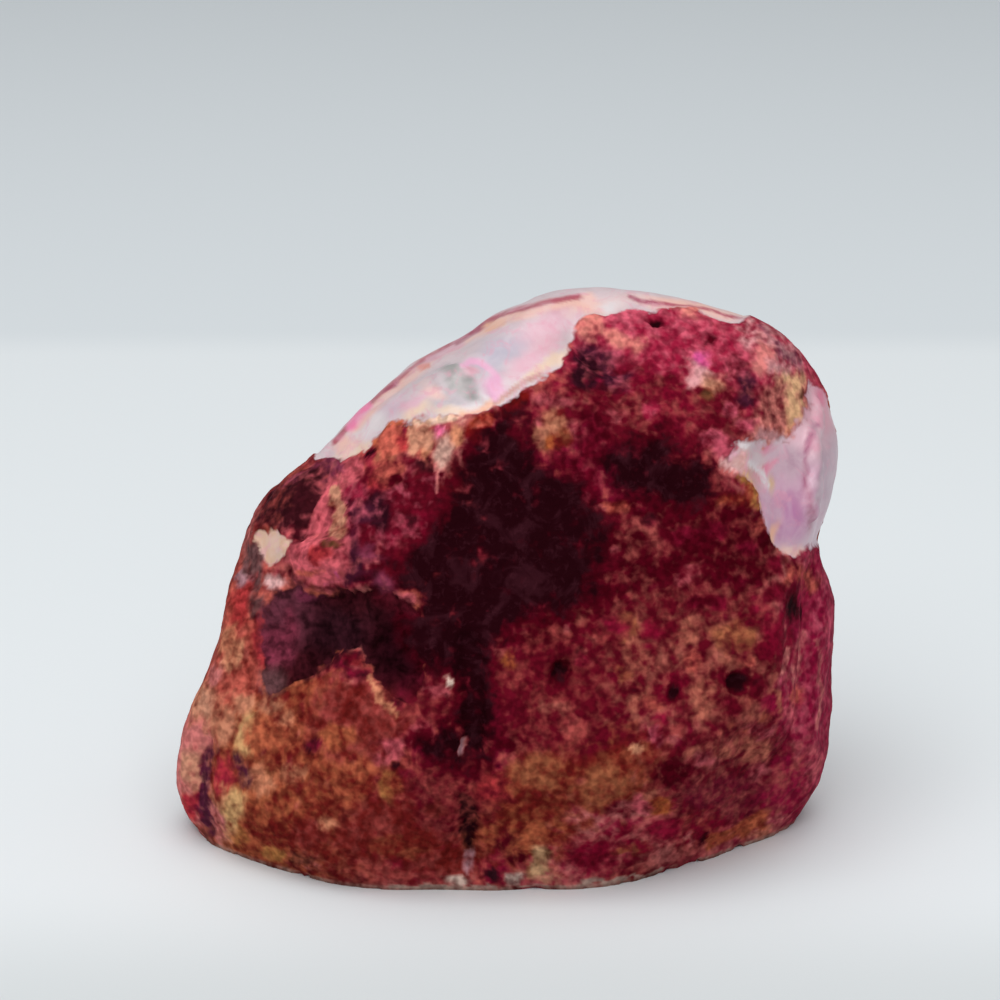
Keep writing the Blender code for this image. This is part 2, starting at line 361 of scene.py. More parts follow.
# a ground shows in the mottle and a dye lies over it; the cover is how much of the ground the dye hides
dyes = {
    "rosy tan": tint(166, 72, 68), "ochre": tint(180, 96, 64), "dusty pink": tint(202, 116, 112),
    "dusty rose": tint(188, 88, 96), "dusty tan": tint(168, 82, 76), "straw": tint(202, 156, 106),
    "salmon": tint(204, 98, 84), "orange salmon": tint(206, 100, 84), "coral pink": tint(208, 95, 105),
    "coral red": tint(186, 60, 62), "hot coral": tint(222, 100, 110), "hot pink": tint(232, 110, 150),
    "rose": tint(204, 90, 110), "rosy peach": tint(214, 126, 116), "pale rose": tint(206, 146, 148),
    "peach": tint(232, 162, 124), "peach tan": tint(206, 132, 100), "orange peach": tint(214, 130, 108),
    "orange tan": tint(192, 101, 70), "orange ochre": tint(176, 94, 52),
    "yellow ochre": tint(184, 126, 72), "yellow tan": tint(180, 116, 68), "olive tan": tint(154, 80, 56),
    "pale tan": tint(170, 92, 80), "brown tan": tint(162, 94, 64), "beige": tint(200, 138, 112),
    "beige brown": tint(182, 102, 84), "tan cream": tint(208, 162, 122), "soft tan": tint(194, 126, 98),
    "cream": tint(224, 186, 162), "cream pink": tint(230, 178, 176), "cream grey": tint(216, 190, 176),
    "drip grey": tint(198, 154, 140), "grey tan": tint(166, 138, 126), "grey brown": tint(118, 80, 80),
    "grey pink": tint(178, 130, 138), "bright magenta": tint(208, 82, 142), "crimson": tint(88, 9, 25),
    "bright crimson": tint(110, 10, 34), "deep crimson": tint(70, 4, 17), "brown red": tint(100, 24, 22),
    "rose red": tint(138, 22, 50), "magenta": tint(130, 16, 50), "maroon red": tint(98, 17, 36),
    "maroon": tint(54, 15, 22), "near black": tint(32, 6, 12), "dark brown": tint(90, 24, 24),
    "olive brown": tint(88, 52, 34), "purple": tint(88, 40, 52), "dark purple": tint(62, 20, 37),
    "stripe purple": tint(78, 28, 48), "violet": tint(112, 43, 60), "dark plum": tint(48, 18, 26),
    "wine": tint(46, 13, 24), "plum": tint(112, 44, 66), "plum grey": tint(88, 55, 58),
    "rust": tint(120, 24, 18),
}

# marks on the rind by area, in the order they are laid; as a ground or a dye, None leaves what is there
patches = {  # across, up, half width, half height, feather, ground, dye, cover, and a turn if it has one
    "broad": [
        (-28.0, -20.2, 14.9, 13.7, 0.4, "ochre", "brown red", 0.78),
        (-22.0, -27.6, 7.4, 3.1, 0.5, None, "brown red", 0.98),
        (-38.3, -20.0, 2.4, 8.3, 0.6, "dusty pink", "rose red", -0.2, -6),
        (-32.5, -4.0, 5.0, 10.0, 0.5, "salmon", "brown red", 0.55, -18),
        (-8.0, -27.0, 11.9, 7.1, 0.5, "rosy tan", "brown red", 1.05),
        (1.2, -25.6, 7.1, 6.0, 0.5, "ochre", "brown red", 0.8),
        (14.0, 4.8, 17.9, 8.3, 0.4, "dusty tan", "deep crimson", 1.35),
        (19.3, -7.7, 14.9, 8.9, 0.4, "pale tan", "crimson", 0.98),
        (10.7, -20.2, 9.5, 6.0, 0.5, "olive tan", "brown red", 0.92),
        (3.6, -10.7, 7.1, 7.1, 0.5, "rosy tan", "crimson", 1.2),
        (7.1, -14.9, 8.9, 3.3, 0.5, None, "crimson", 1.12),
        (37.5, -11.9, 5.5, 22.0, 0.5, "rose", "magenta", 1.05),
        (26.8, -20.8, 8.9, 6.0, 0.5, "dusty tan", "crimson", 1.12),
        (21.4, 29.2, 16.7, 7.8, 0.4, "rose", "rose red", 0.98, -12),
        (17.8, 22.6, 13.1, 4.8, 0.4, "dusty tan", "crimson", 1.3, -6),
        (-22.0, 8.9, 6.0, 7.4, 0.5, "coral pink", "crimson", 0.52),
        (-13.1, 10.1, 6.2, 7.1, 0.5, "rose", "crimson", 1.27, 10),
        (-17.8, -14.3, 7.1, 4.8, 0.5, "rosy tan", "brown red", 0.85),
        (-6.5, -22.6, 5.3, 5.3, 0.5, "rosy tan", "crimson", 0.96),
    ],
    "lower right": [
        (23.2, -11.7, 1.6, 2.6, 0.5, "beige brown", "crimson", 0.42, -8),
        (15.2, -11.5, 1.2, 1.9, 0.5, "beige brown", "crimson", 0.5),
        (19.3, -10.7, 1.9, 2.4, 0.6, None, "bright crimson", 1.2),
        (27.1, -9.9, 2.4, 1.9, 0.6, None, "crimson", 0.98),
        (27.6, -13.1, 2.1, 2.1, 0.6, None, "crimson", 0.82),
        (18.8, -14.0, 1.9, 1.2, 0.6, None, "rose red", 0.92),
        (17.4, -16.3, 0.83, 1.2, 0.5, "rose", "crimson", 0.8),
        (15.0, -17.6, 0.95, 0.83, 0.5, "peach", "crimson", 0.4),
        (19.2, -20.6, 2.4, 1.8, 0.5, None, "deep crimson", 1.25, 20),
        (17.3, -22.6, 1.7, 0.95, 0.5, None, "crimson", 1.0, -20),
        (23.6, -18.1, 2.6, 1.1, 0.5, "beige brown", "crimson", 0.62),
        (11.1, -22.3, 3.1, 2.6, 0.5, "brown tan", "brown red", 0.58),
        (13.7, -25.1, 2.4, 0.95, 0.5, "dusty pink", "crimson", 0.75),
        (15.7, -23.9, 1.1, 1.3, 0.5, "coral pink", "crimson", 0.45),
        (18.0, -24.5, 1.1, 0.95, 0.5, "orange ochre", "brown red", 0.65),
        (16.9, -23.2, 0.95, 0.71, 0.5, "beige brown", "crimson", 0.5),
        (25.6, -23.2, 4.3, 2.4, 0.5, None, "maroon red", 0.92),
        (22.8, -28.6, 0.83, 0.95, 0.6, None, "near black", 1.6),
        (15.2, -29.6, 0.71, 0.71, 0.6, None, "wine", 1.5),
        (21.2, -28.6, 0.48, 0.83, 0.4, "dusty pink", None, 0.3),
        (13.7, -29.8, 3.1, 0.71, 0.5, "brown tan", "brown red", 0.7, 8),
        (9.5, -30.5, 2.9, 2.1, 0.6, "rose red", "crimson", 1.2, 6),
        (18.2, -27.3, 2.1, 1.1, 0.6, "rose red", "bright crimson", 1.25, 8),
        (16.7, -12.4, 1.1, 1.1, 0.6, "salmon", "crimson", 0.45),
        (19.9, -12.1, 1.2, 0.95, 0.7, None, "crimson", 1.3),
        (19.8, -14.6, 1.3, 1.2, 0.7, None, "crimson", 1.15),
        (26.5, -12.3, 1.3, 0.95, 0.7, "rose red", "crimson", 1.35),
        (13.3, -22.4, 1.6, 0.95, 0.7, None, "brown red", 0.85),
        (23.2, -18.9, 1.3, 1.1, 0.7, "dusty rose", "crimson", 0.55),
        (19.9, -15.5, 1.4, 0.95, 0.7, "rosy tan", "crimson", 0.9),
    ],
    "lower middle": [
        (-8.3, -11.9, 4.3, 3.6, 0.5, "rosy tan", "crimson", 1.0),
        (5.9, -10.0, 2.4, 2.1, 0.6, None, "crimson", 1.1),
        (8.0, -15.1, 1.7, 1.1, 0.7, "rosy tan", "crimson", 0.62, 10),
        (5.1, -12.9, 1.9, 1.1, 0.5, "pale tan", "crimson", 0.5),
        (4.2, -20.8, 3.6, 2.4, 0.5, "brown tan", "brown red", 0.72),
        (2.1, -27.6, 2.4, 1.2, 0.5, "ochre", "brown red", 0.56),
        (-2.4, -33.0, 0.95, 0.71, 0.6, None, "dark plum", 1.4),
        (0.7, -30.9, 1.1, 0.59, 0.5, None, "deep crimson", 1.2),
        (0.4, -33.2, 1.2, 0.71, 0.5, "cream grey", "crimson", 0.42),
        (3.5, -31.2, 1.1, 2.0, 0.5, "tan cream", "olive brown", 0.45),
        (4.6, -33.4, 1.2, 0.71, 0.6, "beige", None, 0.3),
        (-2.4, -22.6, 2.1, 1.9, 0.6, "coral red", "crimson", 0.85),
        (-4.9, -26.8, 1.1, 2.6, 0.7, None, "near black", 1.4),
        (-0.6, -29.2, 1.7, 1.7, 0.5, None, "crimson", 0.9),
        (-7.5, -9.6, 0.54, 0.59, 0.5, "cream grey", None, -0.5),
        (-5.7, -17.7, 0.43, 1.1, 0.5, "grey pink", None, -0.8, -4),
        (-4.8, -31.1, 0.42, 1.2, 0.6, "grey pink", None, 0.1, -14),
        (-6.5, -33.4, 1.7, 0.71, 0.5, "cream grey", "brown red", 0.65),
        (3.2, -10.6, 1.6, 1.2, 0.7, None, "crimson", 1.2), (6.5, -13.9, 1.4, 1.1, 0.7, None, "crimson", 1.15),
        (-0.1, -17.3, 1.3, 1.1, 0.7, None, "deep crimson", 1.3),
        (8.3, -27.3, 1.2, 0.95, 0.7, None, "brown red", 1.0),
    ],
    "left foot": [
        (-37.8, -20.5, 1.2, 2.9, 0.7, "beige", "rose red", -0.35),
        (-38.2, -24.5, 1.2, 1.4, 0.7, "coral red", "rose red", 0.35, -20),
        (-8.7, -24.5, 0.59, 1.1, 0.6, None, "dark brown", 1.4),
        (-17.3, -13.8, 2.9, 1.9, 0.5, "rosy tan", "brown red", 1.0),
        (-13.8, -17.4, 1.7, 1.2, 0.6, "coral pink", "crimson", 0.45),
        (-13.9, -19.6, 0.71, 0.59, 0.6, None, "maroon", 1.5),
        (-10.7, -16.1, 1.7, 1.9, 0.5, "coral pink", "crimson", 1.05),
        (-31.4, -15.8, 1.3, 2.9, 0.6, "straw", "brown red", 0.0, -4),
        (-34.5, -14.8, 2.1, 2.3, 0.7, "soft tan", "brown red", -0.05, -10),
        (-34.0, -20.9, 1.2, 2.4, 0.6, "coral red", "rose red", 0.45),
        (-33.0, -24.8, 1.2, 2.4, 0.6, "straw", "brown red", 0.2, -4),
        (-32.6, -27.8, 1.8, 1.2, 0.6, "yellow tan", "brown red", 0.45, -30),
        (-28.6, -22.6, 2.6, 2.4, 0.5, "ochre", "brown red", 0.6),
        (-28.0, -16.1, 3.1, 2.6, 0.5, "orange tan", "brown red", 0.64),
        (-28.3, -28.1, 2.1, 1.2, 0.5, None, "brown red", 0.92),
        (-28.0, -30.3, 1.2, 0.71, 0.6, "yellow ochre", "brown red", 0.55, -6),
        (-23.8, -28.1, 2.0, 1.8, 0.6, "rosy tan", "brown red", 0.95),
        (-24.8, -30.9, 1.6, 0.83, 0.6, None, "maroon", 1.1),
        (-22.0, -26.7, 1.1, 0.95, 0.6, "peach tan", "brown red", 0.42),
        (-20.1, -26.2, 0.71, 1.1, 0.6, None, "dark brown", 1.4),
        (-22.8, -16.9, 1.2, 0.83, 0.5, None, "brown red", 1.05),
        (-20.5, -16.4, 2.4, 1.4, 0.5, "ochre", "brown red", 0.66),
        (-14.5, -22.4, 1.3, 1.7, 0.6, "yellow tan", "brown red", 0.5),
        (-18.4, -21.7, 2.1, 3.1, 0.5, "orange tan", "brown red", 0.62, -30),
        (-8.6, -25.0, 1.7, 1.1, 0.5, None, "dark brown", 0.95),
        (-7.3, -23.1, 1.2, 1.7, 0.5, None, "crimson", 1.1),
        (-13.1, -29.5, 3.6, 1.7, 0.5, "olive tan", "brown red", 0.8),
        (-19.0, -28.3, 2.4, 1.7, 0.6, "rosy tan", "brown red", 0.9),
        (-28.6, -12.3, 1.6, 1.1, 0.6, "brown tan", "brown red", 0.2),
        (-29.3, -21.2, 2.9, 1.6, 0.6, "orange tan", "brown red", 0.12, -6),
        (-34.4, -25.9, 1.4, 2.9, 0.6, "soft tan", "brown red", 0.05, 14),
        (-18.4, -21.4, 1.9, 1.7, 0.6, None, "brown red", 1.05),
        (-25.1, -15.6, 1.4, 1.1, 0.7, None, "brown red", 0.95),
        (-15.1, -18.8, 1.2, 1.1, 0.6, "coral pink", "brown red", 0.4),
        (-33.4, -25.8, 1.1, 1.7, 0.6, "straw", "brown red", 0.2, 10),
        (-30.0, -21.3, 1.7, 1.7, 0.7, "peach tan", "brown red", 0.2),
        (-26.1, -20.6, 1.8, 0.95, 0.7, "peach tan", "brown red", 0.45),
        (-13.3, -22.3, 0.95, 0.95, 0.7, "orange tan", "brown red", 0.5),
        (-35.1, -26.4, 0.83, 2.1, 0.7, "dusty pink", "brown red", 0.1, 14),
        (-26.9, -14.0, 1.1, 0.95, 0.7, "peach tan", "brown red", 0.4),
        (-23.4, -17.3, 1.1, 0.95, 0.7, "rose red", "maroon", 1.1),
        (-28.4, -20.3, 1.2, 0.95, 0.7, "brown tan", "brown red", 0.75),
    ],
    "hollows": [
        (-30.9, 3.0, 1.4, 4.1, 0.5, "grey brown", "maroon", 0.45, -8),
        (-30.0, -0.7, 0.95, 1.7, 0.6, "grey brown", "maroon", 0.7),
        (-32.0, -0.5, 1.3, 3.1, 0.6, "coral red", "brown red", 0.5, -12),
        (-33.1, -6.5, 1.2, 2.1, 0.5, "peach", "brown red", 0.45, -20),
        (-29.5, -4.8, 1.1, 3.6, 0.5, "coral red", "crimson", 0.62, -4),
        (-12.6, 0.0, 2.0, 0.83, 0.6, "dusty rose", "crimson", 0.35),
        (-18.8, -6.8, 1.4, 1.1, 0.6, "coral red", "crimson", 1.2, -30),
        (-22.4, -8.1, 1.7, 0.83, 0.6, "rosy tan", "crimson", 0.75, 18),
        (-8.8, -10.7, 1.4, 0.71, 0.6, "dusty rose", "crimson", 0.85, -10),
        (-36.3, -11.9, 1.7, 2.4, 0.6, "soft tan", "brown red", 0.15, -20),
        (-33.4, -5.9, 0.95, 1.8, 0.6, "peach tan", "brown red", 0.15, -14),
        (-11.9, -10.6, 1.2, 0.95, 0.7, None, "deep crimson", 1.4),
        (-33.6, -4.5, 0.95, 1.9, 0.6, "peach tan", "brown red", 0.1, -12),
        (-35.1, -8.9, 0.95, 1.4, 0.6, "dusty pink", "brown red", 0.15, -20),
        (-9.0, -8.3, 1.1, 0.95, 0.7, None, "maroon", 1.35),
        (-36.3, -12.3, 1.1, 1.6, 0.7, "beige", "brown red", -0.15, -14),
        (-31.8, -12.3, 1.2, 1.2, 0.7, "soft tan", "brown red", 0.05),
        (-28.4, -12.3, 1.2, 0.95, 0.7, "soft tan", "brown red", 0.38),
        (-20.1, -7.3, 1.2, 0.95, 0.7, "rose red", "maroon", 1.15),
        (-13.4, -12.3, 1.1, 0.95, 0.7, "rose red", "maroon", 1.1),
        (-18.4, -8.9, 1.1, 0.95, 0.7, "rose red", "maroon", 0.85),
    ],
    "upper left": [
        (-3.3, 21.5, 2.1, 0.83, 0.6, "orange ochre", "rust", 0.62, 20),
        (-4.3, 19.8, 1.2, 1.6, 0.6, None, "rust", 1.3),
        (-25.2, 11.9, 4.5, 2.4, 0.45, None, "maroon", 1.5, 45),
        (-26.4, 10.1, 2.4, 1.9, 0.5, None, "maroon", 1.5),
        (-22.4, 15.0, 1.7, 1.4, 0.6, None, "plum", 1.05, 40),
        (-29.0, 9.8, 1.3, 0.71, 0.6, "dusty rose", "crimson", 0.95, 20),
        (-25.9, 14.0, 2.6, 0.48, 0.6, "dusty rose", "plum", 0.6, 32),
        (-28.3, 2.5, 0.83, 1.1, 0.6, "cream pink", "crimson", 0.15, -30),
        (-23.2, 4.0, 3.1, 1.3, 0.6, "hot coral", "crimson", -0.3, -4),
        (-22.8, 3.1, 2.6, 0.48, 0.6, "salmon", "crimson", 0.0),
        (-22.8, 5.6, 1.6, 1.1, 0.6, "coral red", "crimson", 0.5),
        (-21.1, 2.7, 1.2, 0.71, 0.7, "bright magenta", None, -0.4, 10),
        (-21.4, 6.8, 1.1, 0.65, 0.7, None, "olive brown", 1.2, -10),
        (-13.9, 19.3, 1.3, 1.8, 0.5, "orange salmon", "brown red", 0.0, 8),
        (-13.0, 18.9, 0.71, 1.2, 0.6, "coral red", "crimson", 0.2, 10),
        (-15.9, 15.7, 2.1, 1.4, 0.6, "salmon", "rose red", 0.66, -10),
        (-15.7, 14.3, 1.7, 1.4, 0.5, "coral red", "crimson", 0.8),
        (-14.8, 16.9, 1.4, 0.83, 0.6, "peach tan", "brown red", 0.45, -20),
        (-18.8, 15.5, 1.4, 1.7, 0.5, "coral pink", "crimson", 0.5),
        (-20.9, 16.4, 1.7, 0.59, 0.5, None, "plum", 1.1, -30),
        (-10.1, 16.4, 1.2, 1.1, 0.5, None, "maroon", 1.2),
        (-16.5, 17.7, 0.95, 0.36, 0.4, None, "near black", 1.4, 30),
        (-11.5, 19.3, 0.83, 2.4, 0.5, "beige", "brown red", -0.15),
        (-8.3, 21.3, 3.1, 0.59, 0.6, "cream", "brown red", -0.1, 4),
        (-12.3, 20.9, 0.31, 0.31, 0.5, None, "olive brown", 1.3),
        (-10.0, 18.3, 0.71, 1.8, 0.6, "peach tan", "brown red", -0.05),
        (-6.4, 19.4, 0.95, 1.6, 0.5, "peach tan", "brown red", 0.1),
        (-8.6, 19.9, 0.71, 0.54, 0.6, "hot pink", None, -0.3),
        (-7.7, 17.6, 1.1, 1.7, 0.6, "drip grey", "crimson", -0.2, -6),
        (-11.3, 11.9, 2.4, 2.9, 0.5, "rose", "crimson", 1.15),
        (-11.7, 7.6, 2.6, 2.9, 0.5, "rose", "bright crimson", 1.05),
        (-15.5, 10.7, 1.6, 2.3, 0.6, None, "wine", 1.75, -8),
        (-17.8, 10.5, 1.4, 1.1, 0.6, None, "dark purple", 1.25, 10),
        (-18.6, 5.2, 1.1, 3.1, 0.6, None, "dark purple", 1.3, -8),
        (-16.4, 6.2, 1.6, 1.4, 0.6, "dusty rose", "plum", 1.15),
        (-17.6, 3.0, 1.7, 0.95, 0.6, None, "dark purple", 1.2),
        (-12.7, 6.2, 1.1, 1.2, 0.6, "dusty rose", "crimson", 0.85),
        (-14.2, 15.5, 1.9, 1.6, 0.6, "salmon", "crimson", 0.4),
        (-27.7, 11.1, 1.8, 3.1, 0.6, "rosy tan", "maroon", 1.15, -38),
        (-23.6, 14.3, 2.1, 1.2, 0.6, None, "maroon", 1.15, 32),
        (-13.4, 14.3, 1.2, 0.83, 0.7, None, "deep crimson", 1.25),
        (-7.5, 14.4, 1.7, 1.1, 0.7, None, "deep crimson", 1.25),
        (-25.1, 7.7, 1.1, 0.95, 0.7, None, "maroon", 1.25),
        (-16.8, 7.6, 1.4, 1.1, 0.7, None, "crimson", 1.35), (-11.8, 7.6, 1.4, 1.1, 0.7, None, "crimson", 1.2),
        (-31.8, 2.6, 0.71, 0.83, 0.7, "grey pink", "maroon", 0.25),
        (-21.8, 2.5, 1.7, 0.59, 0.6, "hot coral", "crimson", -0.1, -3),
        (-10.1, 19.5, 0.95, 1.2, 0.7, "beige", "brown red", -0.1),
        (-15.0, 18.0, 1.1, 0.95, 0.7, "orange salmon", "brown red", -0.1),
        (-21.9, 2.6, 1.8, 0.71, 0.6, "hot coral", "crimson", -0.25),
        (-15.1, 1.9, 1.6, 1.4, 0.7, "dusty rose", "plum", 1.1),
        (-4.8, 17.6, 1.1, 1.1, 0.7, None, "deep crimson", 1.3),
        (-13.4, 9.5, 1.2, 0.95, 0.7, None, "crimson", 1.3),
        (-15.0, 6.2, 1.1, 0.95, 0.7, None, "crimson", 1.3),
        (-19.9, 4.6, 1.1, 0.83, 0.7, None, "crimson", 0.8),
        (-11.8, 9.4, 0.95, 0.95, 0.7, "rose red", "maroon", 1.15),
        (-18.4, 13.0, 1.1, 0.95, 0.7, "rose", "rose red", 0.85),
    ],
    "middle": [
        (16.7, 8.6, 1.7, 1.1, 0.5, "dusty tan", "crimson", 0.78, -30),
        (18.0, 6.8, 1.4, 1.7, 0.5, "dusty tan", "crimson", 0.78, 10),
        (11.5, 5.2, 1.7, 1.2, 0.5, "dusty rose", "crimson", 0.8, 20),
        (12.6, 2.7, 1.7, 0.95, 0.5, "dusty tan", "crimson", 0.8),
        (21.2, 3.0, 1.9, 1.1, 0.5, "dusty rose", "crimson", 0.72, 10),
        (23.0, 1.2, 1.7, 1.2, 0.5, "dusty tan", "crimson", 0.78),
        (26.5, 11.9, 2.1, 0.83, 0.5, "orange tan", "brown red", 0.78, -8),
        (28.7, 12.9, 0.95, 1.4, 0.5, "ochre", "brown red", 0.62, -30),
        (29.9, 9.5, 0.59, 2.6, 0.6, "ochre", "brown red", 0.9, -18),
        (25.6, 8.3, 4.8, 2.9, 0.5, "rosy tan", "deep crimson", 1.35, -10),
        (29.8, 4.8, 3.6, 1.4, 0.5, None, "deep crimson", 0.95, -10),
        (13.7, -2.9, 1.6, 1.9, 0.5, "brown tan", "crimson", 0.44),
        (15.0, -6.5, 1.4, 2.1, 0.5, "beige brown", "crimson", 0.6, 10),
        (21.2, -4.0, 1.7, 1.6, 0.5, "beige brown", "crimson", 0.42),
        (27.1, -4.5, 2.5, 2.0, 0.5, "brown tan", "crimson", 0.44),
        (18.1, -2.4, 1.4, 2.4, 0.5, None, "crimson", 1.3),
        (-0.1, -6.8, 1.2, 1.3, 0.5, "orange ochre", "crimson", 0.62),
        (-1.5, -4.8, 1.1, 1.7, 0.5, "dusty tan", "crimson", 0.75),
        (4.2, -5.0, 3.3, 1.2, 0.5, "rosy tan", "crimson", 0.95, 10),
        (6.5, -1.4, 3.1, 1.9, 0.5, None, "deep crimson", 1.02),
        (8.2, -6.5, 0.83, 0.71, 0.5, None, "near black", 1.2),
        (23.0, 8.2, 3.6, 1.4, 0.6, "rose red", "deep crimson", 1.15),
        (19.3, -0.7, 1.9, 0.95, 0.6, None, "crimson", 1.25),
        (3.6, -3.1, 3.8, 1.6, 0.6, "rosy tan", "deep crimson", 1.25, -4),
        (10.7, -4.0, 2.9, 0.95, 0.7, "rosy tan", "crimson", 1.25, 4),
        (26.2, -0.7, 3.1, 1.1, 0.7, None, "crimson", 1.2),
        (1.7, -4.0, 1.4, 1.1, 0.7, None, "deep crimson", 1.25),
        (20.0, 7.6, 1.7, 1.1, 0.7, "rose red", "deep crimson", 1.3),
        (9.0, -7.3, 1.6, 1.1, 0.7, None, "crimson", 1.25),
        (28.2, -7.1, 1.1, 1.1, 0.6, "salmon", "crimson", 0.4),
        (21.5, -7.3, 1.2, 1.1, 0.7, "salmon", "crimson", 0.5),
        (13.2, -8.9, 1.3, 1.1, 0.7, "brown tan", "crimson", 0.55),
        (8.6, -7.1, 1.7, 1.1, 0.7, "rose red", "deep crimson", 1.3),
        (12.5, -2.4, 1.9, 1.2, 0.7, "rose red", "deep crimson", 0.9),
        (16.7, -3.8, 1.3, 1.1, 0.7, "rose red", "bright crimson", 1.25),
        (24.9, -0.6, 1.4, 1.1, 0.7, "rose red", "deep crimson", 1.15),
        (21.9, -0.6, 1.4, 1.1, 0.7, "rose red", "deep crimson", 1.15),
        (26.5, -7.1, 1.3, 0.83, 0.7, "beige brown", "crimson", 0.5),
        (28.2, 6.1, 1.4, 1.1, 0.7, "rose red", "deep crimson", 1.1),
    ],
    "right side": [
        (34.5, 2.4, 2.4, 1.9, 0.5, "salmon", "crimson", 0.62),
        (29.2, -17.7, 1.9, 1.7, 0.5, "beige brown", "crimson", 0.54),
        (32.8, -21.4, 1.8, 3.8, 0.7, None, "magenta", 1.12, -4),
        (31.9, -23.8, 1.9, 2.1, 0.7, None, "magenta", 1.15, 30),
        (30.7, -27.0, 1.2, 0.48, 0.7, "rose", "magenta", 0.45, 30),
        (34.0, -1.4, 1.8, 2.9, 0.7, "rose red", "magenta", 1.15),
        (33.9, -0.7, 1.3, 2.0, 0.8, None, "deep crimson", 1.4),
        (33.9, -1.0, 0.71, 1.1, 0.8, None, "near black", 1.2),
        (34.2, -11.5, 0.95, 1.7, 0.5, "salmon", "magenta", 0.4),
        (33.6, -13.8, 0.95, 1.4, 0.5, "coral pink", "magenta", 0.5),
        (34.5, -7.1, 0.83, 3.1, 0.5, "dusty pink", "magenta", 0.62, -10),
        (29.4, -20.8, 1.2, 1.9, 0.5, "dusty tan", "maroon red", 0.72),
        (32.2, -4.8, 1.7, 2.6, 0.7, "rose red", "bright crimson", 1.2),
        (36.4, -18.9, 0.83, 2.0, 0.7, "dusty rose", "magenta", 0.3),
        (31.5, 1.0, 1.4, 1.2, 0.7, "rose red", "crimson", 1.1),
        (31.4, -12.3, 1.2, 1.2, 0.7, "rose red", "magenta", 1.2),
        (29.9, -27.4, 1.4, 0.71, 0.7, "orange peach", "brown red", 0.3, 24),
        (36.5, -2.3, 0.71, 1.4, 0.7, "rose", "magenta", 0.35),
        (29.9, -15.6, 1.2, 0.95, 0.7, "dusty rose", "crimson", 0.65),
        (29.9, -20.6, 1.2, 0.95, 0.7, "dusty rose", "crimson", 0.55),
        (31.5, 4.4, 1.1, 0.95, 0.7, "rose red", "crimson", 1.1),
    ],
    "upper right": [
        (13.6, 33.3, 1.8, 1.2, 0.6, "rose", "rose red", 0.35, -20),
        (9.5, 32.6, 1.6, 2.0, 0.6, "rosy peach", "rose red", -0.1, -30),
        (12.9, 31.2, 2.6, 0.95, 0.6, "rosy peach", "rose red", 0.05, -24),
        (15.5, 30.3, 1.1, 1.2, 0.6, "rosy peach", "rose red", 0.3, -30),
        (30.7, 30.3, 1.9, 2.1, 0.6, "dusty pink", "rose red", -0.1, -30),
        (30.2, 27.8, 1.8, 1.3, 0.6, "dusty pink", "rose red", 0.12),
        (31.5, 27.8, 1.1, 1.1, 0.7, "pale rose", "rose red", 0.25),
        (21.4, 32.1, 4.8, 2.1, 0.6, "rose", "rose red", 0.72, -8),
        (24.0, 31.4, 0.71, 0.54, 0.6, None, "deep crimson", 1.5),
        (9.3, 29.2, 1.4, 1.3, 0.8, None, "dark purple", 1.25, -20),
        (9.8, 27.3, 1.6, 1.4, 0.8, None, "wine", 1.5, -38),
        (12.9, 26.5, 1.9, 0.95, 0.8, "rose", "dark purple", 1.1),
        # near black deep in the top hollow: painted shade
        (9.5, 27.8, 1.1, 1.1, 0.6, None, "near black", 1.1, -30),
        (23.0, 28.9, 0.89, 1.1, 0.7, "bright magenta", "rose red", 0.2),
        (22.5, 27.1, 1.8, 1.1, 0.8, "pale rose", None, -0.15, -16),
        (24.2, 25.8, 1.4, 1.1, 0.8, "beige", "brown red", 0.45, -30),
        (23.4, 24.6, 0.83, 0.71, 0.6, "ochre", "olive brown", 0.85),
        (26.7, 27.8, 1.4, 2.1, 0.6, None, "crimson", 1.0),
        (28.4, 25.2, 1.3, 1.9, 0.7, None, "dark purple", 1.4),
        (30.1, 24.8, 1.1, 1.4, 0.5, None, "crimson", 1.1),
        (33.1, 24.0, 2.0, 3.6, 0.6, "tan cream", "brown red", -0.25, -3),
        (32.2, 19.3, 0.83, 1.4, 0.7, "yellow tan", "brown red", 0.2),
        (31.1, 23.2, 1.7, 3.3, 0.6, "rosy peach", "crimson", 0.6),
        (30.0, 20.5, 2.1, 1.7, 0.6, "rosy peach", "crimson", 0.35),
        (27.1, 19.8, 1.4, 1.7, 0.5, None, "crimson", 1.05),
        (24.3, 19.0, 2.1, 1.2, 0.6, "rose", "crimson", 0.6, -10),
        (31.1, 19.4, 2.0, 0.95, 0.7, "pale rose", "crimson", 0.0),
        (27.1, 16.5, 1.6, 1.4, 0.6, "cream pink", "crimson", 0.3, -28),
        (19.5, 22.4, 2.9, 3.1, 0.5, None, "bright crimson", 1.05),
        (16.7, 25.5, 2.9, 1.7, 0.5, None, "bright crimson", 0.95),
        (5.5, 23.6, 2.9, 1.1, 0.5, "dusty rose", "crimson", 0.55, -10),
        (7.6, 19.9, 1.9, 1.3, 0.5, "dusty rose", "crimson", 0.85),
        (11.9, 22.0, 2.1, 1.2, 0.5, "dusty rose", "crimson", 1.0),
        (13.6, 19.5, 2.1, 1.1, 0.5, "dusty tan", "crimson", 1.05),
        (4.5, 20.1, 2.4, 2.6, 0.45, "soft tan", "brown red", 0.62),
        (5.1, 18.6, 0.95, 1.1, 0.5, "orange ochre", "brown red", 0.55),
        (0.5, 23.6, 2.1, 0.95, 0.6, "rose", "rust", 1.05, 32),
        (8.9, 13.9, 2.0, 2.6, 0.5, "rose", "bright crimson", 0.86, 10),
        (12.6, 11.3, 1.6, 0.83, 0.5, "salmon", "brown red", 0.35, -10),
        (10.7, 10.1, 1.9, 1.1, 0.5, "dusty rose", "crimson", 0.68, -20),
        (14.0, 9.5, 1.7, 1.2, 0.5, "dusty tan", "crimson", 0.85, -30),
        (34.7, 24.3, 0.36, 0.59, 0.6, None, "olive brown", 1.2),
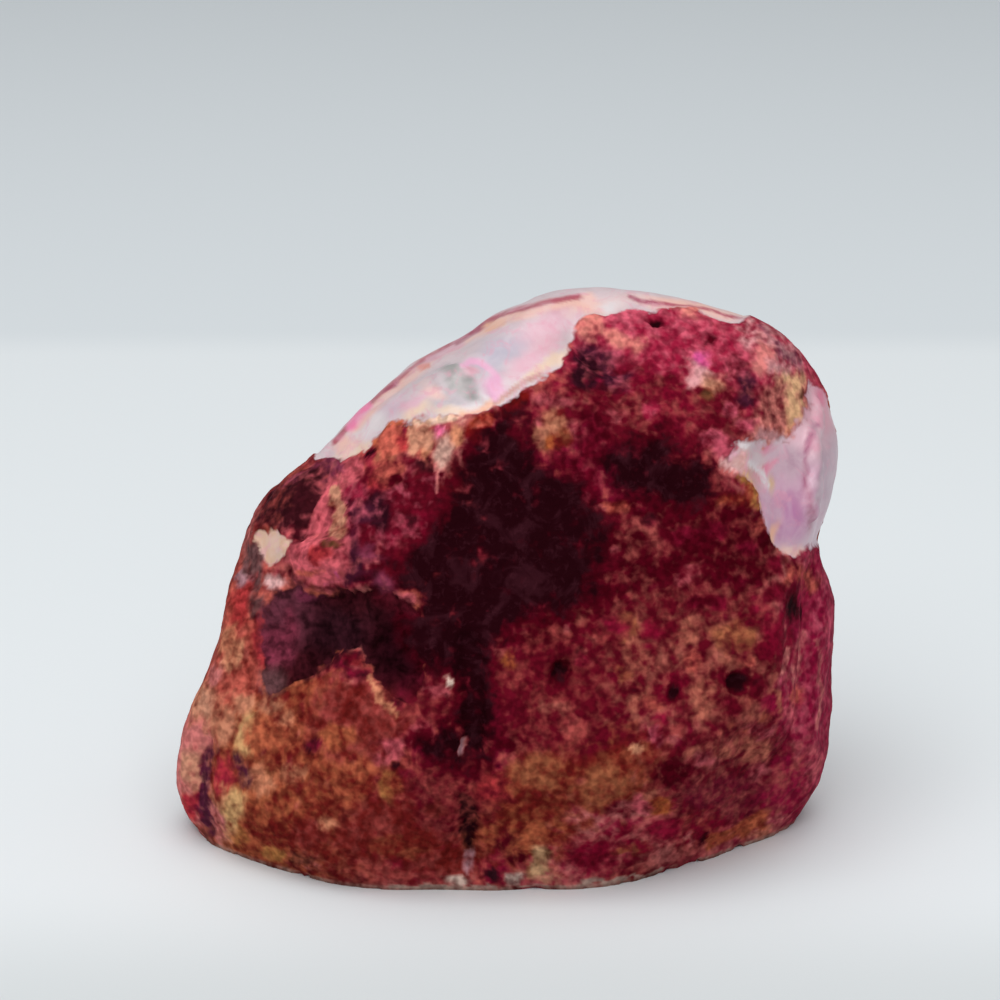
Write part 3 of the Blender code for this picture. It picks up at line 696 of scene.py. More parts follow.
        (28.2, 31.9, 1.3, 1.6, 0.6, "pale rose", "rose red", 0.25),
        (8.9, 26.9, 1.7, 1.6, 0.7, None, "wine", 1.4),
        (12.1, 28.3, 1.7, 1.2, 0.7, None, "dark purple", 1.1, -20),
        (9.8, 18.9, 2.1, 4.3, 0.6, "rose red", "deep crimson", 1.25),
        (33.1, 28.8, 1.1, 1.8, 0.7, "pale rose", "rose red", 0.2, -20),
        (26.5, 22.8, 1.1, 0.95, 0.6, "rose", "crimson", 0.5),
        (3.2, 19.5, 0.95, 2.0, 0.7, "soft tan", "crimson", 0.5),
        (20.5, 34.5, 2.4, 0.95, 0.6, "rosy peach", "rose red", 0.3, -8),
        (18.2, 26.1, 1.2, 1.1, 0.7, None, "crimson", 1.15),
        (-0.1, 19.4, 1.8, 1.9, 0.7, "deep crimson", "near black", 1.2),
        (6.9, 16.4, 1.6, 1.7, 0.7, "rose red", "deep crimson", 1.0),
        (29.9, 9.4, 0.83, 1.1, 0.7, "salmon", "crimson", 0.6),
        (25.9, 18.0, 1.1, 0.95, 0.7, "rose", "crimson", 0.75),
        (28.2, 21.1, 1.4, 0.83, 0.7, "rose", "crimson", 0.9),
        (28.2, 19.4, 1.1, 0.71, 0.7, None, "crimson", 0.95),
        (14.8, 32.7, 1.4, 1.1, 0.7, "rose", "rose red", 0.9),
        (13.2, 27.7, 1.2, 0.95, 0.7, "rose red", "crimson", 1.1),
        (21.5, 26.1, 1.1, 0.95, 0.7, "pale rose", "rose red", 0.05),
        (16.5, 22.7, 1.2, 0.95, 0.7, "rose", "rose red", 0.95),
        (31.5, 21.1, 1.1, 0.95, 0.7, "rosy peach", "crimson", 0.15),
        (6.8, 19.4, 0.95, 1.3, 0.7, "brown tan", "brown red", 1.0),
        (-3.3, 21.2, 1.4, 0.83, 0.7, "orange salmon", "rust", 0.85, 25),
        (9.8, 26.2, 1.1, 0.95, 0.7, "rose red", "wine", 1.35),
        (19.9, 21.1, 1.3, 0.95, 0.7, "rose red", "crimson", 1.15),
        (3.2, 21.3, 0.95, 0.95, 0.7, "dusty rose", "crimson", 0.45),
        (18.8, 34.2, 1.3, 0.71, 0.7, "rose", "rose red", 0.45),
        (31.2, 31.7, 1.7, 1.1, 0.7, "pale rose", "rose red", 0.4, -35),
        (33.4, 29.3, 0.83, 1.2, 0.7, "pale rose", "rose red", 0.45),
        (16.5, 9.4, 1.1, 0.95, 0.7, "rose red", "maroon", 1.15),
    ],
}

strokes = {  # path, half width, ground, dye, cover
    # the plum line along the right crest's outline is painted shade
    "crest right shade": ([(30.0, 32.4), (32.5, 30.2), (34.5, 27.6)], 0.36, None, "plum", 0.75),
    "break fringe": ([(27.8, 14.4), (28.8, 13.1), (29.3, 11.5)], 0.4, "yellow ochre", "brown red", 0.35),
    "drip tail": ([(-8.8, 16.4), (-8.6, 14.3), (-8.6, 12.8)], 0.24, "dusty pink", None, 0.1),
    "diagonal": ([(-16.9, -9.3), (-15.5, -11.4), (-13.8, -13.6)], 0.36, "peach tan", None, 0.5),
    "pink streak": ([
        (-21.3, 13.8), (-22.8, 10.1), (-24.3, 7.1), (-25.3, 5.2),
    ], 0.71, "coral pink", "crimson", 0.32),
    "tan streak left": ([(-21.2, 13.1), (-20.1, 10.9), (-20.7, 8.1)], 0.71, "beige", "brown red", 0.3),
    "stripe halo": ([(-35.8, -17.6), (-36.3, -22.6), (-35.9, -27.8)], 0.7, None, "stripe purple", 0.7),
    "purple stripe": ([(-36.2, -18.4), (-36.6, -22.6), (-36.3, -26.4)], 0.85, None, "stripe purple", 1.25),
    "small stripe": ([(-32.0, -18.6), (-31.9, -22.1)], 0.6, None, "stripe purple", 0.9),
    "foot crack": ([(-5.4, -23.8), (-5.0, -26.2), (-4.8, -28.8)], 0.5, None, "near black", 1.1),
    "flank crease": ([(34.9, 4.5), (35.3, -4.8), (34.6, -16.7), (35.2, -25.2)], 0.48, None, "magenta", 0.85),
    "pale thread": ([(33.0, -5.9), (32.6, -8.6)], 0.31, "dusty pink", None, 0.3),
    "pale thread low": ([(31.9, -10.7), (32.2, -13.7)], 0.26, "beige brown", None, 0.4),
    "limb thread": ([(36.8, -4.8), (37.1, -10.7), (36.5, -15.5)], 0.26, "dusty pink", "magenta", 0.5),
    "limb thread right": ([(38.0, 0.0), (38.1, -5.9)], 0.24, "rose", "magenta", 0.5),
    "crimson band": ([
        (8.9, -28.6), (15.5, -28.6), (21.4, -27.7), (24.0, -25.9),
    ], 1.31, None, "bright crimson", 0.96),
    "tan rim": ([(24.0, -28.8), (27.0, -27.5), (30.1, -25.8)], 0.83, "orange tan", "brown red", 0.62),
    "drip left thread": ([(-7.4, 0.0), (-8.3, -4.8), (-7.6, -7.6)], 0.36, None, "near black", 1.1),
    "foot line": ([(-14.3, -33.9), (-5.9, -34.4), (3.6, -34.3), (9.5, -33.8)], 0.26, "grey tan", None, -0.1),
    "foot line right": ([
        (9.5, -33.7), (13.1, -33.3), (16.7, -32.6), (21.4, -31.4), (27.4, -29.6), (31.5, -28.1),
    ], 0.17, "grey tan", None, -0.1),
}

wingDyes = {  # the smooth hollows on the left are dyed right through: middle, half sizes, dye
    "whole": ((-20.8, -4.8), (13.09, 8.33), "maroon"),
    # purple side, violet and violet edge: partly the hollow's own purple dye and partly painted sheen
    "purple side with sheen": ((-26.7, -1.4), (3.33, 4.05), "purple"),
    "violet": ((-26.5, -4.5), (0.95, 2.86), "violet"),
    "violet edge": ((-28.3, -5.7), (1.31, 2.38), "violet"),
    "tip": ((-29.0, -9.6), (1.78, 1.78), "plum grey"),
    "dark": ((-20.8, -3.8), (3.81, 2.86), "dark plum"),
    "hump": ((-19.0, 0.0), (2.86, 1.43), "maroon"),
    "hump left": ((-23.6, 0.8), (1.7, 1.1), "plum"),
    "right": ((-13.3, -5.9), (3.33, 4.28), "near black"),
    "right glow": ((-9.0, -4.3), (1.43, 1.07), "deep crimson"),
}

pools = {  # where dye stood and dried almost black: outline, and how far its edge is spread, in mm
    "main pool": ([
        (-4.0, 20.5), (-1.2, 22.4), (1.4, 23.3), (1.1, 20.2), (1.8, 16.8), (4.4, 15.2), (7.2, 14.4),
        (9.5, 11.9), (11.2, 9.3), (10.9, 5.2), (10.0, 1.0), (7.0, -1.2), (3.0, -2.2), (-0.6, -3.8),
        (-1.9, -6.2), (-2.6, -10.7), (-2.1, -14.5), (-1.2, -16.4), (-1.9, -19.3), (-4.8, -20.0),
        (-7.9, -19.5), (-10.7, -18.1), (-9.3, -16.2), (-6.7, -15.0), (-6.2, -11.9), (-7.4, -8.1),
        (-10.5, -7.6), (-13.3, -4.8), (-14.0, -2.1), (-12.6, -1.2), (-15.5, 0.7), (-17.4, 2.9),
        (-14.8, 4.5), (-10.7, 6.2), (-9.0, 9.5), (-7.6, 12.0), (-6.6, 14.6), (-5.4, 17.4),
    ], 2.6),
    "right pool": ([
        (10.9, 17.1), (13.6, 18.6), (16.7, 19.3), (17.6, 21.2), (18.8, 19.5), (19.8, 17.1), (22.6, 16.7),
        (24.5, 15.5), (24.8, 13.1), (23.2, 11.4), (20.2, 11.2), (17.6, 11.9), (15.0, 12.4), (12.1, 13.6),
    ], 2.6),
}

poolGaps = [  # middle, half sizes
    ((-11.8, -0.6), (1.4, 1.1)), ((-3.4, 21.1), (1.7, 0.9)), ((-15.1, 2.0), (1.7, 1.6)),
    ((-12.9, 0.2), (2.5, 1.1)), ((-8.5, -11.0), (1.5, 1.1)), ((-5.7, -17.7), (0.59, 1.2)),
]

far = {  # where no mark is placed, broad lumps of noise share out these, in order from low to high
    "grounds": ["ochre", "rosy tan", "dusty pink", "dusty tan", "salmon", "ochre"],
    "dyes": ["brown red", "crimson", "rose red", "magenta", "deep crimson"],
    "cover": 0.58,
    "coverSwing": 0.34,
    "lumps": 15.0,  # mm
}

brush = {
    "edge": (0.08, 0.92),
    "raggedShare": 0.6,  # how much the ragged noise eats into the edges of marks
    "broad": 4.0,  # mm: marks with a larger half size are moved by the wider waves
    "unevenness": 0.22,  # in the cover
    "footShare": 0.7,  # a pale grey-tan line along the foot
    "footEdge": (0.25, 0.95),  # mm
    "deepPit": 0.5,  # mm: the pits deeper than this are painted as dark as the pools
}


def layColour(layer, colour, share):
    layer += (np.array(colour) - layer) * share[:, None]


def shareOut(names, start):  # each point takes its colour from the list by a broad noise
    value = np.clip(0.5 + 0.9 * bumps(points, far["lumps"], start), 0, 1) * (len(names) - 1)
    colours = np.array([dyes[name] for name in names])
    below = np.minimum(value.astype(int), len(names) - 2)
    share = (value - below)[:, None]
    return colours[below] * (1 - share) + colours[below + 1] * share


def paintDyes():
    ground = shareOut(far["grounds"], 3.0)
    dye = shareOut(far["dyes"], 19.0)
    cover = far["cover"] + far["coverSwing"] * bumps(points, 0.6 * far["lumps"], 7.0)
    unevenness = brush["unevenness"] * bumps(points, 3.0, 5.0)

    def lay(share, groundName, dyeName, amount):
        share = smoothStep(*brush["edge"], share + brush["raggedShare"] * ragged * (share > 0)) * front
        if groundName:
            layColour(ground, dyes[groundName], share)
        if dyeName:
            layColour(dye, dyes[dyeName], share)
        cover[:] += (amount + unevenness - cover) * share

    for marks in patches.values():
        for across, up, halfWidth, halfHeight, feather, groundName, dyeName, amount, *turn in marks:
            halves = (halfWidth, halfHeight)
            places = wide if max(halves) > brush["broad"] else stirred
            lay(dab(places, (across, up), halves, feather, *turn), groundName, dyeName, amount)
    for path, halfWidth, *paint in strokes.values():
        across = distanceToPath(stirred, path)
        lay(1 - smoothStep(0.6 * halfWidth, 1.5 * halfWidth, across), *paint)
    height = points[:, 2] + 0.35 * ragged
    lay(brush["footShare"] * (1 - smoothStep(*brush["footEdge"], height)), "grey tan", "brown red", 0.1)
    inWing = smoothStep(-0.8, 0.0, wing)
    for middle, halves, dyeName in wingDyes.values():
        layColour(dye, dyes[dyeName], inWing * dab(stirred, middle, halves, feather=0.5))
    pool = np.zeros(len(points))
    for outline, feather in pools.values():
        pool = np.maximum(pool, front * smoothStep(-feather, feather, insideBy(wide, outline)))
    for middle, halves in poolGaps:
        pool *= 1 - dab(stirred, middle, halves, feather=0.6)
    for middle, halves, depth in pits.values():
        if depth > brush["deepPit"]:
            pool = np.maximum(pool, front * dab(stirred, middle, halves, feather=0.8))
    soaked = smoothStep(0.0, 0.55, pool)  # the rind round a pool is soaked too
    layColour(dye, dyes["deep crimson"], 0.8 * soaked)
    layColour(ground, dyes["rose red"], 0.75 * smoothStep(0.35, 0.9, pool))
    cover += 0.7 * soaked
    return ground, dye, cover, pool


bareTints = {
    "milk": tint(206, 185, 190), "frost": tint(186, 176, 182), "white": tint(216, 206, 208),
    "blue grey": tint(184, 176, 190), "ash": tint(154, 152, 150), "blush": tint(222, 176, 190),
    "candy": tint(236, 122, 166), "swirl pink": tint(224, 166, 196), "cream": tint(228, 198, 174),
    "rosy cream": tint(192, 140, 132), "warm cream": tint(232, 184, 172), "straw": tint(206, 160, 106),
    "peach": tint(232, 172, 142), "orange": tint(222, 112, 84), "lilac": tint(196, 146, 172),
    "violet": tint(188, 124, 166), "mauve": tint(168, 98, 128), "soft lilac": tint(202, 174, 188),
    "grey lilac": tint(184, 147, 164), "rosy": tint(214, 118, 146), "deep pink": tint(160, 52, 84),
    "brown pink": tint(174, 78, 94), "shell pink": tint(212, 158, 172), "facet cream": tint(216, 172, 142),
}

barePatches = {  # tint, across, up, half width, half height, feather, and a turn if it has one
    "pale window": [
        ("frost", -4.8, 25.6, 7.1, 3.1, 0.7, 32), ("blue grey", -0.6, 29.8, 4.1, 1.9, 0.7, 30),
        ("white", -3.8, 23.6, 3.1, 1.1, 0.6, 22), ("white", 1.2, 27.1, 3.1, 1.1, 0.6, 30),
        ("ash", -5.9, 26.5, 1.8, 1.1, 0.7, -10), ("ash", -6.9, 27.5, 0.95, 0.71, 0.7),
        ("ash", -4.8, 25.2, 1.2, 0.59, 0.8, -20), ("shell pink", -4.8, 27.7, 1.1, 0.71, 0.7),
        ("swirl pink", -1.8, 25.8, 1.1, 1.4, 0.7, 20), ("cream", -6.9, 22.6, 2.6, 0.71, 0.6, 6),
        ("cream", -11.3, 22.8, 1.7, 0.83, 0.6, 20), ("warm cream", -9.5, 25.0, 1.4, 0.95, 0.7),
        ("soft lilac", -14.8, 22.8, 2.6, 1.1, 0.6, 40), ("white", -16.9, 20.7, 2.4, 1.1, 0.6, 42),
        ("cream", -18.1, 17.8, 2.6, 0.95, 0.6, 18), ("warm cream", -19.6, 18.8, 1.4, 1.2, 0.6, 40),
        ("blush", -11.3, 24.0, 1.9, 0.71, 0.7, 35), ("blush", 4.5, 32.7, 3.6, 1.7, 0.7, 26),
        ("blush", 2.0, 28.4, 2.8, 1.1, 0.7, 32), ("shell pink", 4.2, 30.7, 1.7, 1.1, 0.7, 30),
        ("cream", 3.6, 27.6, 3.6, 0.59, 0.6, 35), ("warm cream", 9.8, 35.1, 3.1, 0.95, 0.6, 4),
        ("white", 11.7, 35.2, 1.4, 0.71, 0.7), ("shell pink", 5.7, 35.0, 1.9, 0.71, 0.7, 10),
        ("warm cream", 21.4, 35.2, 7.1, 0.83, 0.6, -8), ("cream", 6.2, 29.0, 0.95, 1.2, 0.6, 60),
    ],
    "lilac break": [
        ("lilac", 33.3, 11.3, 4.3, 6.4, 0.5), ("shell pink", 36.3, 22.0, 3.1, 4.3, 0.5),
        ("rosy", 37.4, 25.0, 0.95, 1.7, 0.7, -10), ("blush", 34.5, 19.0, 2.1, 1.4, 0.7, 10),
        ("grey lilac", 37.8, 15.2, 1.7, 4.3, 0.5, -10), ("grey lilac", 33.3, 16.4, 1.7, 1.9, 0.7),
        ("violet", 33.8, 9.5, 1.4, 2.6, 0.6), ("rosy cream", 28.8, 15.7, 2.0, 1.6, 0.7, -30),
        ("milk", 29.3, 16.7, 1.3, 0.71, 0.6), ("white", 27.8, 18.4, 0.83, 0.48, 0.6),
        ("rosy", 25.9, 16.4, 1.1, 0.83, 0.6, -30), ("shell pink", 25.5, 17.6, 1.7, 0.95, 0.6, -10),
        ("rosy", 30.7, 15.9, 1.2, 0.36, 0.7, 35), ("rosy", 30.9, 18.1, 0.95, 0.48, 0.7),
        ("rosy cream", 27.5, 16.4, 0.71, 1.1, 0.6, -20), ("straw", 31.3, 13.7, 0.48, 0.95, 0.8),
        ("peach", 31.2, 7.6, 0.71, 1.7, 0.6, -28), ("warm cream", 33.8, 5.7, 2.1, 0.59, 0.6),
    ],
    "cream facet": [
        ("facet cream", -28.6, 6.5, 4.1, 3.1, 0.4),
    ],
}

bareStrokes = {  # tint, path, half width
    "rim cream": ("warm cream", [
        (-18.8, 20.9), (-15.7, 24.0), (-12.6, 26.4), (-8.8, 29.5), (-4.8, 31.7), (-0.6, 33.8), (4.2, 35.2),
        (9.5, 36.1),
    ], 0.65),
    "rim line": ("brown pink", [
        (-21.1, 19.0), (-17.1, 23.4), (-15.0, 25.2), (-12.6, 27.0), (-10.5, 28.7), (-7.9, 30.3),
        (-6.2, 31.3), (-3.1, 33.2), (-0.5, 34.4), (2.4, 35.2), (5.5, 35.9), (8.3, 36.4),
    ], 0.34),
    "rim candy": ("candy", [(-19.2, 20.9), (-18.2, 22.1), (-17.1, 23.3)], 0.55),
    "rim thread": ("deep pink", [(-15.0, 25.1), (-13.6, 25.9)], 0.21),
    "rim spot": ("orange", [(-10.7, 27.8), (-9.9, 28.1)], 0.33),
    "rim blush": ("shell pink", [(-9.8, 28.8), (-7.6, 29.8), (-5.9, 30.7)], 0.43),
    "rim wine": ("deep pink", [(-6.4, 30.9), (-5.2, 31.8), (-3.5, 32.8)], 0.35),
    "rim tan": ("peach", [(-2.9, 32.7), (-1.2, 33.2)], 0.45),
    "low edge": ("peach", [(-5.7, 22.1), (-3.8, 22.6), (-2.1, 23.6), (-1.2, 24.3)], 0.45),
    "low edge right": ("rosy cream", [(-1.9, 23.7), (-0.2, 24.8), (1.7, 26.1), (3.6, 27.0)], 0.3),
    "loop": ("swirl pink", [
        (-5.7, 28.1), (-4.9, 28.8), (-3.6, 28.7), (-2.5, 27.8), (-1.4, 26.7), (-1.2, 25.2), (-1.9, 24.3),
    ], 0.38),
    "crest thread": ("deep pink", [(14.3, 36.3), (15.5, 35.8), (17.8, 35.6)], 0.26),
    "crest edge": ("brown pink", [(17.8, 35.7), (21.4, 35.1), (24.4, 34.6), (27.6, 33.8)], 0.14),
    "break rim": ("straw", [(27.9, 15.3), (28.7, 14.3), (29.4, 12.9), (29.8, 11.2)], 0.18),
    "vein": ("mauve", [(35.0, 16.4), (35.2, 13.8), (35.6, 11.2), (35.9, 8.3)], 0.29),
    "vein upper": ("mauve", [(35.9, 20.9), (35.5, 19.0), (35.2, 17.6)], 0.24),
    "vein left": ("rosy", [(29.8, 14.5), (30.9, 15.5), (31.9, 16.7)], 0.18),
    "pale vein": ("white", [(28.8, 16.4), (30.0, 15.2), (30.7, 13.6)], 0.36),
}

sawnFace = {
    "rim": 1.1,  # mm of rind round it
    "bands": [  # from the rim inward
        "rosy", "blush", "milk", "soft lilac", "milk", "grey lilac", "cream", "milk", "soft lilac", "white",
    ],
    "bandWidth": 2.4,  # mm
}


def fromRim():  # mm in from the outline of the sawn face, for the points on it
    onFace = sawn > 0.5
    rim = points[(~onFace) & (points[:, 2] < 0.8)][:, :2]
    inward = np.zeros(len(points))
    inward[onFace] = [np.hypot(*(rim - place).T).min() for place in points[onFace][:, :2]]
    return inward, onFace


def paintBare():
    tints = np.tile(np.array(bareTints["milk"]), (len(points), 1))
    near = smoothStep(-1, 2, around)
    for marks in barePatches.values():
        for paint, across, up, halfWidth, halfHeight, feather, *turn in marks:
            share = dab(stirred, (across, up), (halfWidth, halfHeight), feather, *turn)
            layColour(tints, bareTints[paint], near * share)
    near = smoothStep(-0.06, 0.06, facing)
    for paint, path, halfWidth in bareStrokes.values():
        across = distanceToPath(seen + 0.3 * stir, path)
        layColour(tints, bareTints[paint], near * (1 - smoothStep(0.5 * halfWidth, 1.6 * halfWidth, across)))
    bands = np.array([bareTints[name] for name in sawnFace["bands"]])
    at = np.clip((inward + 1.6 * bumps(points, 6.0, 91.0)) / sawnFace["bandWidth"], 0, len(bands) - 1.001)
    part = (at % 1)[:, None]
    banded = bands[at.astype(int)] * (1 - part) + bands[at.astype(int) + 1] * part
    return np.where(onFace[:, None], banded, tints)


def addAttribute(mesh, name, values):
    if values.ndim == 1:
        mesh.attributes.new(name, "FLOAT", "POINT").data.foreach_set("value", values)
    else:
        mesh.attributes.new(name, "FLOAT_COLOR", "POINT").data.foreach_set("color", values.ravel())


inward, onFace = fromRim()
bare = np.where(onFace, inward - sawnFace["rim"] + 0.4 * ragged, bare)
print("sawn face:", int(onFace.sum()), "points")
for name, values in zip(["ground", "dye", "cover", "pool"], paintDyes()):
    addAttribute(skin.data, name, values)
addAttribute(skin.data, "wing", wing)
addAttribute(skin.data, "swing", 1 - 0.4 * smoothStep(0.38, 0.12, facing) * front)  # calmer at the limb
addAttribute(skin.data, "bareTint", paintBare())
addAttribute(skin.data, "bare", bare)
print("dyes painted")


class Wire:  # one output of a node, so that sums on it read as plain sums
    def __init__(self, finish, socket):
        self.finish = finish
        self.socket = socket

    def combine(self, operation, first, second):
        return self.finish.node("ShaderNodeMath", {"operation": operation}, {0: first, 1: second})

    def __add__(self, other):
        return self.combine("ADD", self, other)

    __radd__ = __add__

    def __sub__(self, other):
        return self.combine("SUBTRACT", self, other)

    def __rsub__(self, other):
        return self.combine("SUBTRACT", other, self)

    def __mul__(self, other):
        return self.combine("MULTIPLY", self, other)

    __rmul__ = __mul__


class Finish:  # a material, with one way to add a node to it
    def __init__(self, name):
        self.material = bpy.data.materials.new(name)
        self.material.use_nodes = True
        self.tree = self.material.node_tree
        self.tree.nodes.clear()

    def node(self, kind, settings=None, values=None, out=0):  # the output asked for, or the node's first
        made = self.tree.nodes.new(kind)
        for key, setting in (settings or {}).items():
            setattr(made, key, setting)
        for key, value in (values or {}).items():
            if isinstance(value, Wire):
                self.tree.links.new(value.socket, made.inputs[key])
            else:
                made.inputs[key].default_value = value
        return Wire(self, made.outputs[out]) if made.outputs else None

    def painted(self, name, kind="Fac"):
        return self.node("ShaderNodeAttribute", {"attribute_name": name}, out=kind)

    def speckle(self, size, detail=2.0, roughness=0.5, distortion=0.0):  # specks of that size, in mm
        place = self.node("ShaderNodeMapping", {"vector_type": "TEXTURE"}, {
            "Vector": self.node("ShaderNodeTexCoord", out="Object"),
            "Rotation": (-math.radians(view["elevation"]), 0, 0), "Scale": (1, rindFinish["drawnOut"], 1),
        })
        return self.node("ShaderNodeTexNoise", None, {
            "Vector": place, "Scale": 1 / (size * mm), "Detail": detail, "Roughness": roughness,
            "Distortion": distortion,
        }, "Fac")

    def between(self, value, low, high, start=0.0, end=1.0):  # an eased step from low to high
        return self.node("ShaderNodeMapRange", {"interpolation_type": "SMOOTHSTEP"}, {
            "Value": value, "From Min": low, "From Max": high, "To Min": start, "To Max": end,
        })

    def grey(self, value):
        return self.node("ShaderNodeCombineColor", None, {0: value, 1: value, 2: value})

    def blend(self, share, first, second, way="MIX"):  # two colours
        return self.node("ShaderNodeMix", {"data_type": "RGBA", "blend_type": way}, {
            0: share, 6: first, 7: second,
        }, 2)


rindFinish = {
    "fleck": 0.95,  # mm, the size of the finest specks
    "mottle": 1.9,  # and of the larger ones
    "blotch": 4.2,
    "shares": (0.27, 0.42, 0.31),  # how much each of the three counts
    "drawnOut": 2.0,  # how much longer the specks are from front to back
    "contrast": 5.6,
    "softness": 1.0,
    "wingEdge": (0.9, 1.6),  # how much specks and mottle fray the edge of the smooth hollows
    "poolContrast": 2.8,
    "poolEdge": (0.25, 0.95),
    "poolMix": (0.3, 0.45),  # how strongly the fine painted glints and the broad lighter lumps show on the pools
    "poolTint": tint(34, 5, 11),
    # lighter plum on the pools: in fine specks it is painted glints, in broad lumps the pools' uneven tone
    "poolGlintAndLump": tint(64, 26, 35),
    "roughDry": 0.68,
    "roughDyed": 0.50,
    "shine": 0.003,
    "bump": 0.5,
}

bareFinish = {
    "cloud": 3.0,  # mm
    "veil": tint(232, 214, 218),
    "veilShare": 0.24,
    "flush": 2.2,  # mm
    "flushTint": tint(222, 150, 172),
    "flushShare": 0.40,
    "edgeFray": (0.7, 0.9),  # mm: how far specks and mottle shift the edge of the rind
    "edgeWidth": 0.24,
    "roughness": 0.34,
    "scatter": 0.12,
    "scatterReach": 1.6,  # mm
    "bump": 0.12,
}


def agateFinish():
    f = Finish("dyed_agate")
    bare = f.painted("bare")
    fleck = f.speckle(rindFinish["fleck"], 1.0, 0.5, 0.2)
    mottle = f.speckle(rindFinish["mottle"], 3.0, 0.55, 0.4)
    blotch = f.speckle(rindFinish["blotch"], 2.0, 0.5)
    fleckShare, mottleShare, blotchShare = rindFinish["shares"]
    mixed = fleck * fleckShare + mottle * mottleShare + blotch * blotchShare - 0.5

    level = f.painted("cover") + mixed * f.painted("swing") * rindFinish["contrast"]
    mottled = f.between(level, 0.5 - rindFinish["softness"], 0.5 + rindFinish["softness"])
    byFleck, byMottle = rindFinish["wingEdge"]
    inWing = f.between(f.painted("wing") + (fleck - 0.5) * byFleck + (mottle - 0.5) * byMottle, -0.35, 0.40)
    share = f.node("ShaderNodeMath", {"operation": "MAXIMUM"}, {0: mottled, 1: inWing})
    tone = f.blend(share, f.painted("ground", "Color"), f.painted("dye", "Color"))
    shade = f.between(f.speckle(0.8, 1.0, 0.5), 0.32, 0.68, 0.76, 1.24)
    deep = f.between(mottle, 0.38, 0.64, 0.62, 1.38) - 1.0
    tone = f.blend(1.0, tone, f.grey(shade + deep * inWing), "MULTIPLY")

    poolShare = f.between(f.painted("pool") + mixed * rindFinish["poolContrast"], *rindFinish["poolEdge"])
    # painted glints: fine lighter specks on the pools, mixed with broad lighter lumps of tone
    poolGlints = f.between(f.speckle(0.9, 3.0, 0.6, 0.5), 0.54, 0.70)
    lumps = f.between(f.speckle(3.2, 3.0, 0.6, 0.8), 0.46, 0.66)
    fineGlints, broadLumps = rindFinish["poolMix"]
    glintAndLumpShare = poolGlints * fineGlints + lumps * broadLumps
    poolTone = f.blend(glintAndLumpShare, rindFinish["poolTint"], rindFinish["poolGlintAndLump"])
    tone = f.blend(poolShare, tone, poolTone)

    rough = f.between(share, 0.2, 0.9, rindFinish["roughDry"], rindFinish["roughDyed"])
    grain = f.speckle(0.9, 1.0, 0.5)
    rindBump = f.node("ShaderNodeBump", None, {
        "Strength": rindFinish["bump"], "Distance": 0.3 * mm, "Height": grain + mottle * 0.8,
    })
    rind = f.node("ShaderNodeBsdfPrincipled", None, {
        "Base Color": tone, "Roughness": rough, "Normal": rindBump,
        "Specular IOR Level": rindFinish["shine"],
    })

    cloud = f.speckle(bareFinish["cloud"], 3.0, 0.5, 0.8)
    veil = f.between(cloud, 0.38, 0.66, 0.0, bareFinish["veilShare"])
    pale = f.blend(veil, f.painted("bareTint", "Color"), bareFinish["veil"])
    flush = f.speckle(bareFinish["flush"], 3.0, 0.6, 1.2)
    flush = f.between(flush, 0.50, 0.68, 0.0, bareFinish["flushShare"])
    pale = f.blend(flush, pale, bareFinish["flushTint"])
    ripple = f.speckle(1.2, 3.0, 0.5, 0.6)
    bareBump = f.node("ShaderNodeBump", None, {
        "Strength": bareFinish["bump"], "Distance": 0.3 * mm, "Height": ripple,
    })
    chalcedony = f.node("ShaderNodeBsdfPrincipled", None, {
        "Base Color": pale, "Roughness": bareFinish["roughness"], "Normal": bareBump,
        "Subsurface Weight": bareFinish["scatter"], "Subsurface Radius": (1.0, 0.7, 0.7),
        "Subsurface Scale": bareFinish["scatterReach"] * mm,
    })
    byFleck, byMottle = bareFinish["edgeFray"]
    edge = bare + (fleck - 0.5) * byFleck + (mottle - 0.5) * byMottle
    isBare = f.between(edge, -bareFinish["edgeWidth"], bareFinish["edgeWidth"])
    both = f.node("ShaderNodeMixShader", None, {0: isBare, 1: rind, 2: chalcedony})
    f.node("ShaderNodeOutputMaterial", None, {"Surface": both})
    return f.material


skin.data.materials.append(agateFinish())
skin.data.shade_smooth()
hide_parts("agate_stone")
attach(skin, "root")
print("stone finished")

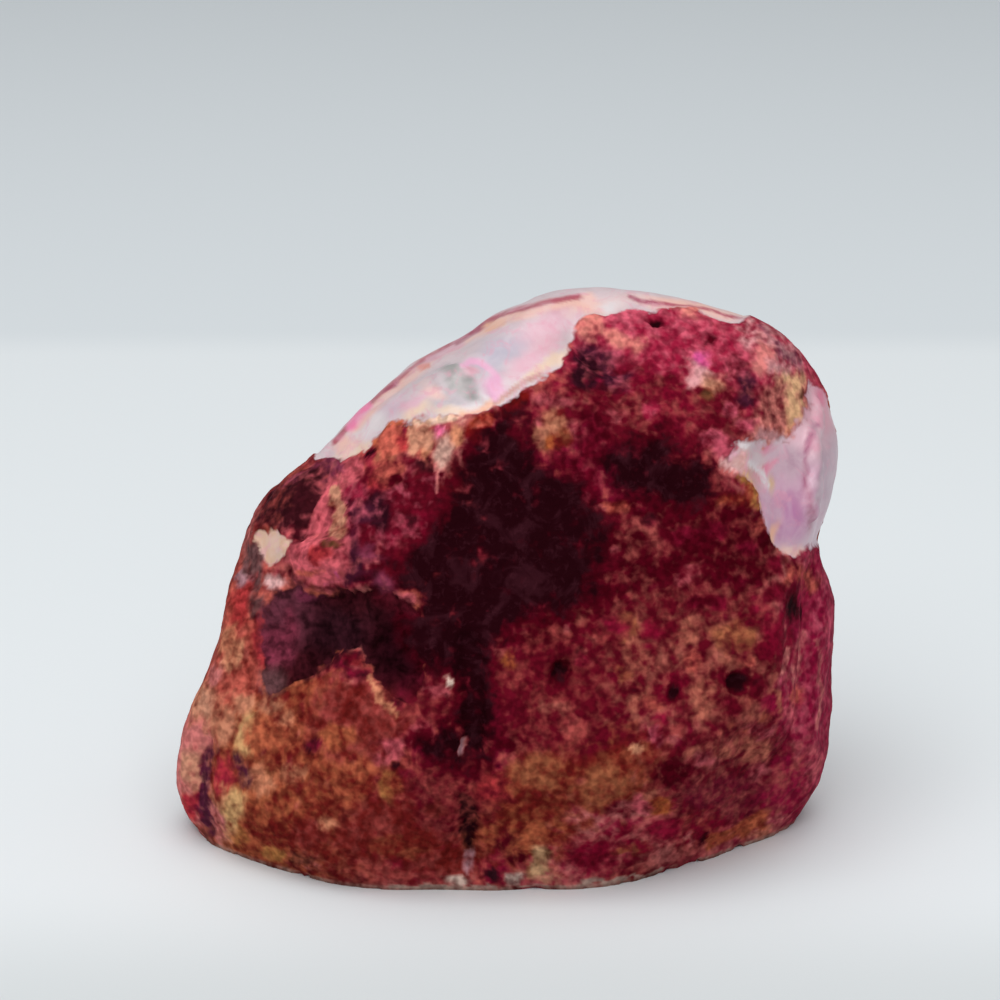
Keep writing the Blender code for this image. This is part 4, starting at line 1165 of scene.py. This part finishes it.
studio = {
    "floor": tint(228, 233, 236),
    # the far floor and the near floor are painted shade: darker where less light would fall
    "farFloorShade": tint(219, 225, 229),
    "nearFloorShade": tint(211, 216, 218),
    "seam": 0.246,  # metres behind the stone, where the far floor's painted shade begins
    "seamSoft": 0.012,
    "near": (-0.055, -0.018),  # metres: where the near floor's painted shade fades out towards the stone
    "reach": 4.0,
    "world": (0.95, 0.98, 1.0),
    "worldStrength": 0.37,
}

lamps = {  # place, size, power, tint, what it points at
    "overhead": ((-0.10, -0.10, 1.20), 1.4, 3.6, (1.0, 0.995, 0.985), (0, 0, 0.03)),
    "front panel": ((-0.12, -0.70, 1.20), 1.5, 16.0, (1.0, 0.995, 0.985), (0, 0, 0.03)),
}


def floorFinish():
    f = Finish("studio_floor")
    place = f.node("ShaderNodeTexCoord", out="Object")
    split = f.node("ShaderNodeSeparateXYZ", None, {0: place}, 1)
    share = f.between(split, studio["seam"] - studio["seamSoft"], studio["seam"] + studio["seamSoft"])
    # painted shade: the floor is darker beyond the seam and towards the front
    tone = f.blend(share, studio["floor"], studio["farFloorShade"])
    tone = f.blend(f.between(split, *studio["near"]), studio["nearFloorShade"], tone)
    paper = f.node("ShaderNodeBsdfPrincipled", None, {"Base Color": tone, "Roughness": 0.85})
    f.node("ShaderNodeOutputMaterial", None, {"Surface": paper})
    return f.material


def addFloor():
    reach = studio["reach"]
    mesh = bpy.data.meshes.new("studio_floor")
    corners = [(-reach, -reach, 0), (reach, -reach, 0), (reach, reach, 0), (-reach, reach, 0)]
    mesh.from_pydata(corners, [], [(0, 1, 2, 3)])
    mesh.materials.append(floorFinish())
    floor = bpy.data.objects.new("studio_floor", mesh)
    bpy.context.scene.collection.objects.link(floor)


def addLamps():
    for name, (place, size, power, colour, aim) in lamps.items():
        data = bpy.data.lights.new(name, "AREA")
        data.size = size
        data.energy = power
        data.color = colour
        lamp = bpy.data.objects.new(name, data)
        lamp.location = place
        toward = Vector(aim) - Vector(place)
        lamp.rotation_euler = toward.to_track_quat("-Z", "Y").to_euler()
        bpy.context.scene.collection.objects.link(lamp)


def addWorld():
    world = bpy.data.worlds.new("studio_air")
    world.use_nodes = True
    air = world.node_tree.nodes["Background"]
    air.inputs["Color"].default_value = (*studio["world"], 1)
    air.inputs["Strength"].default_value = studio["worldStrength"]
    bpy.context.scene.world = world


addFloor()
addLamps()
addWorld()
bpy.context.scene.view_settings.view_transform = "Standard"
print("studio set")
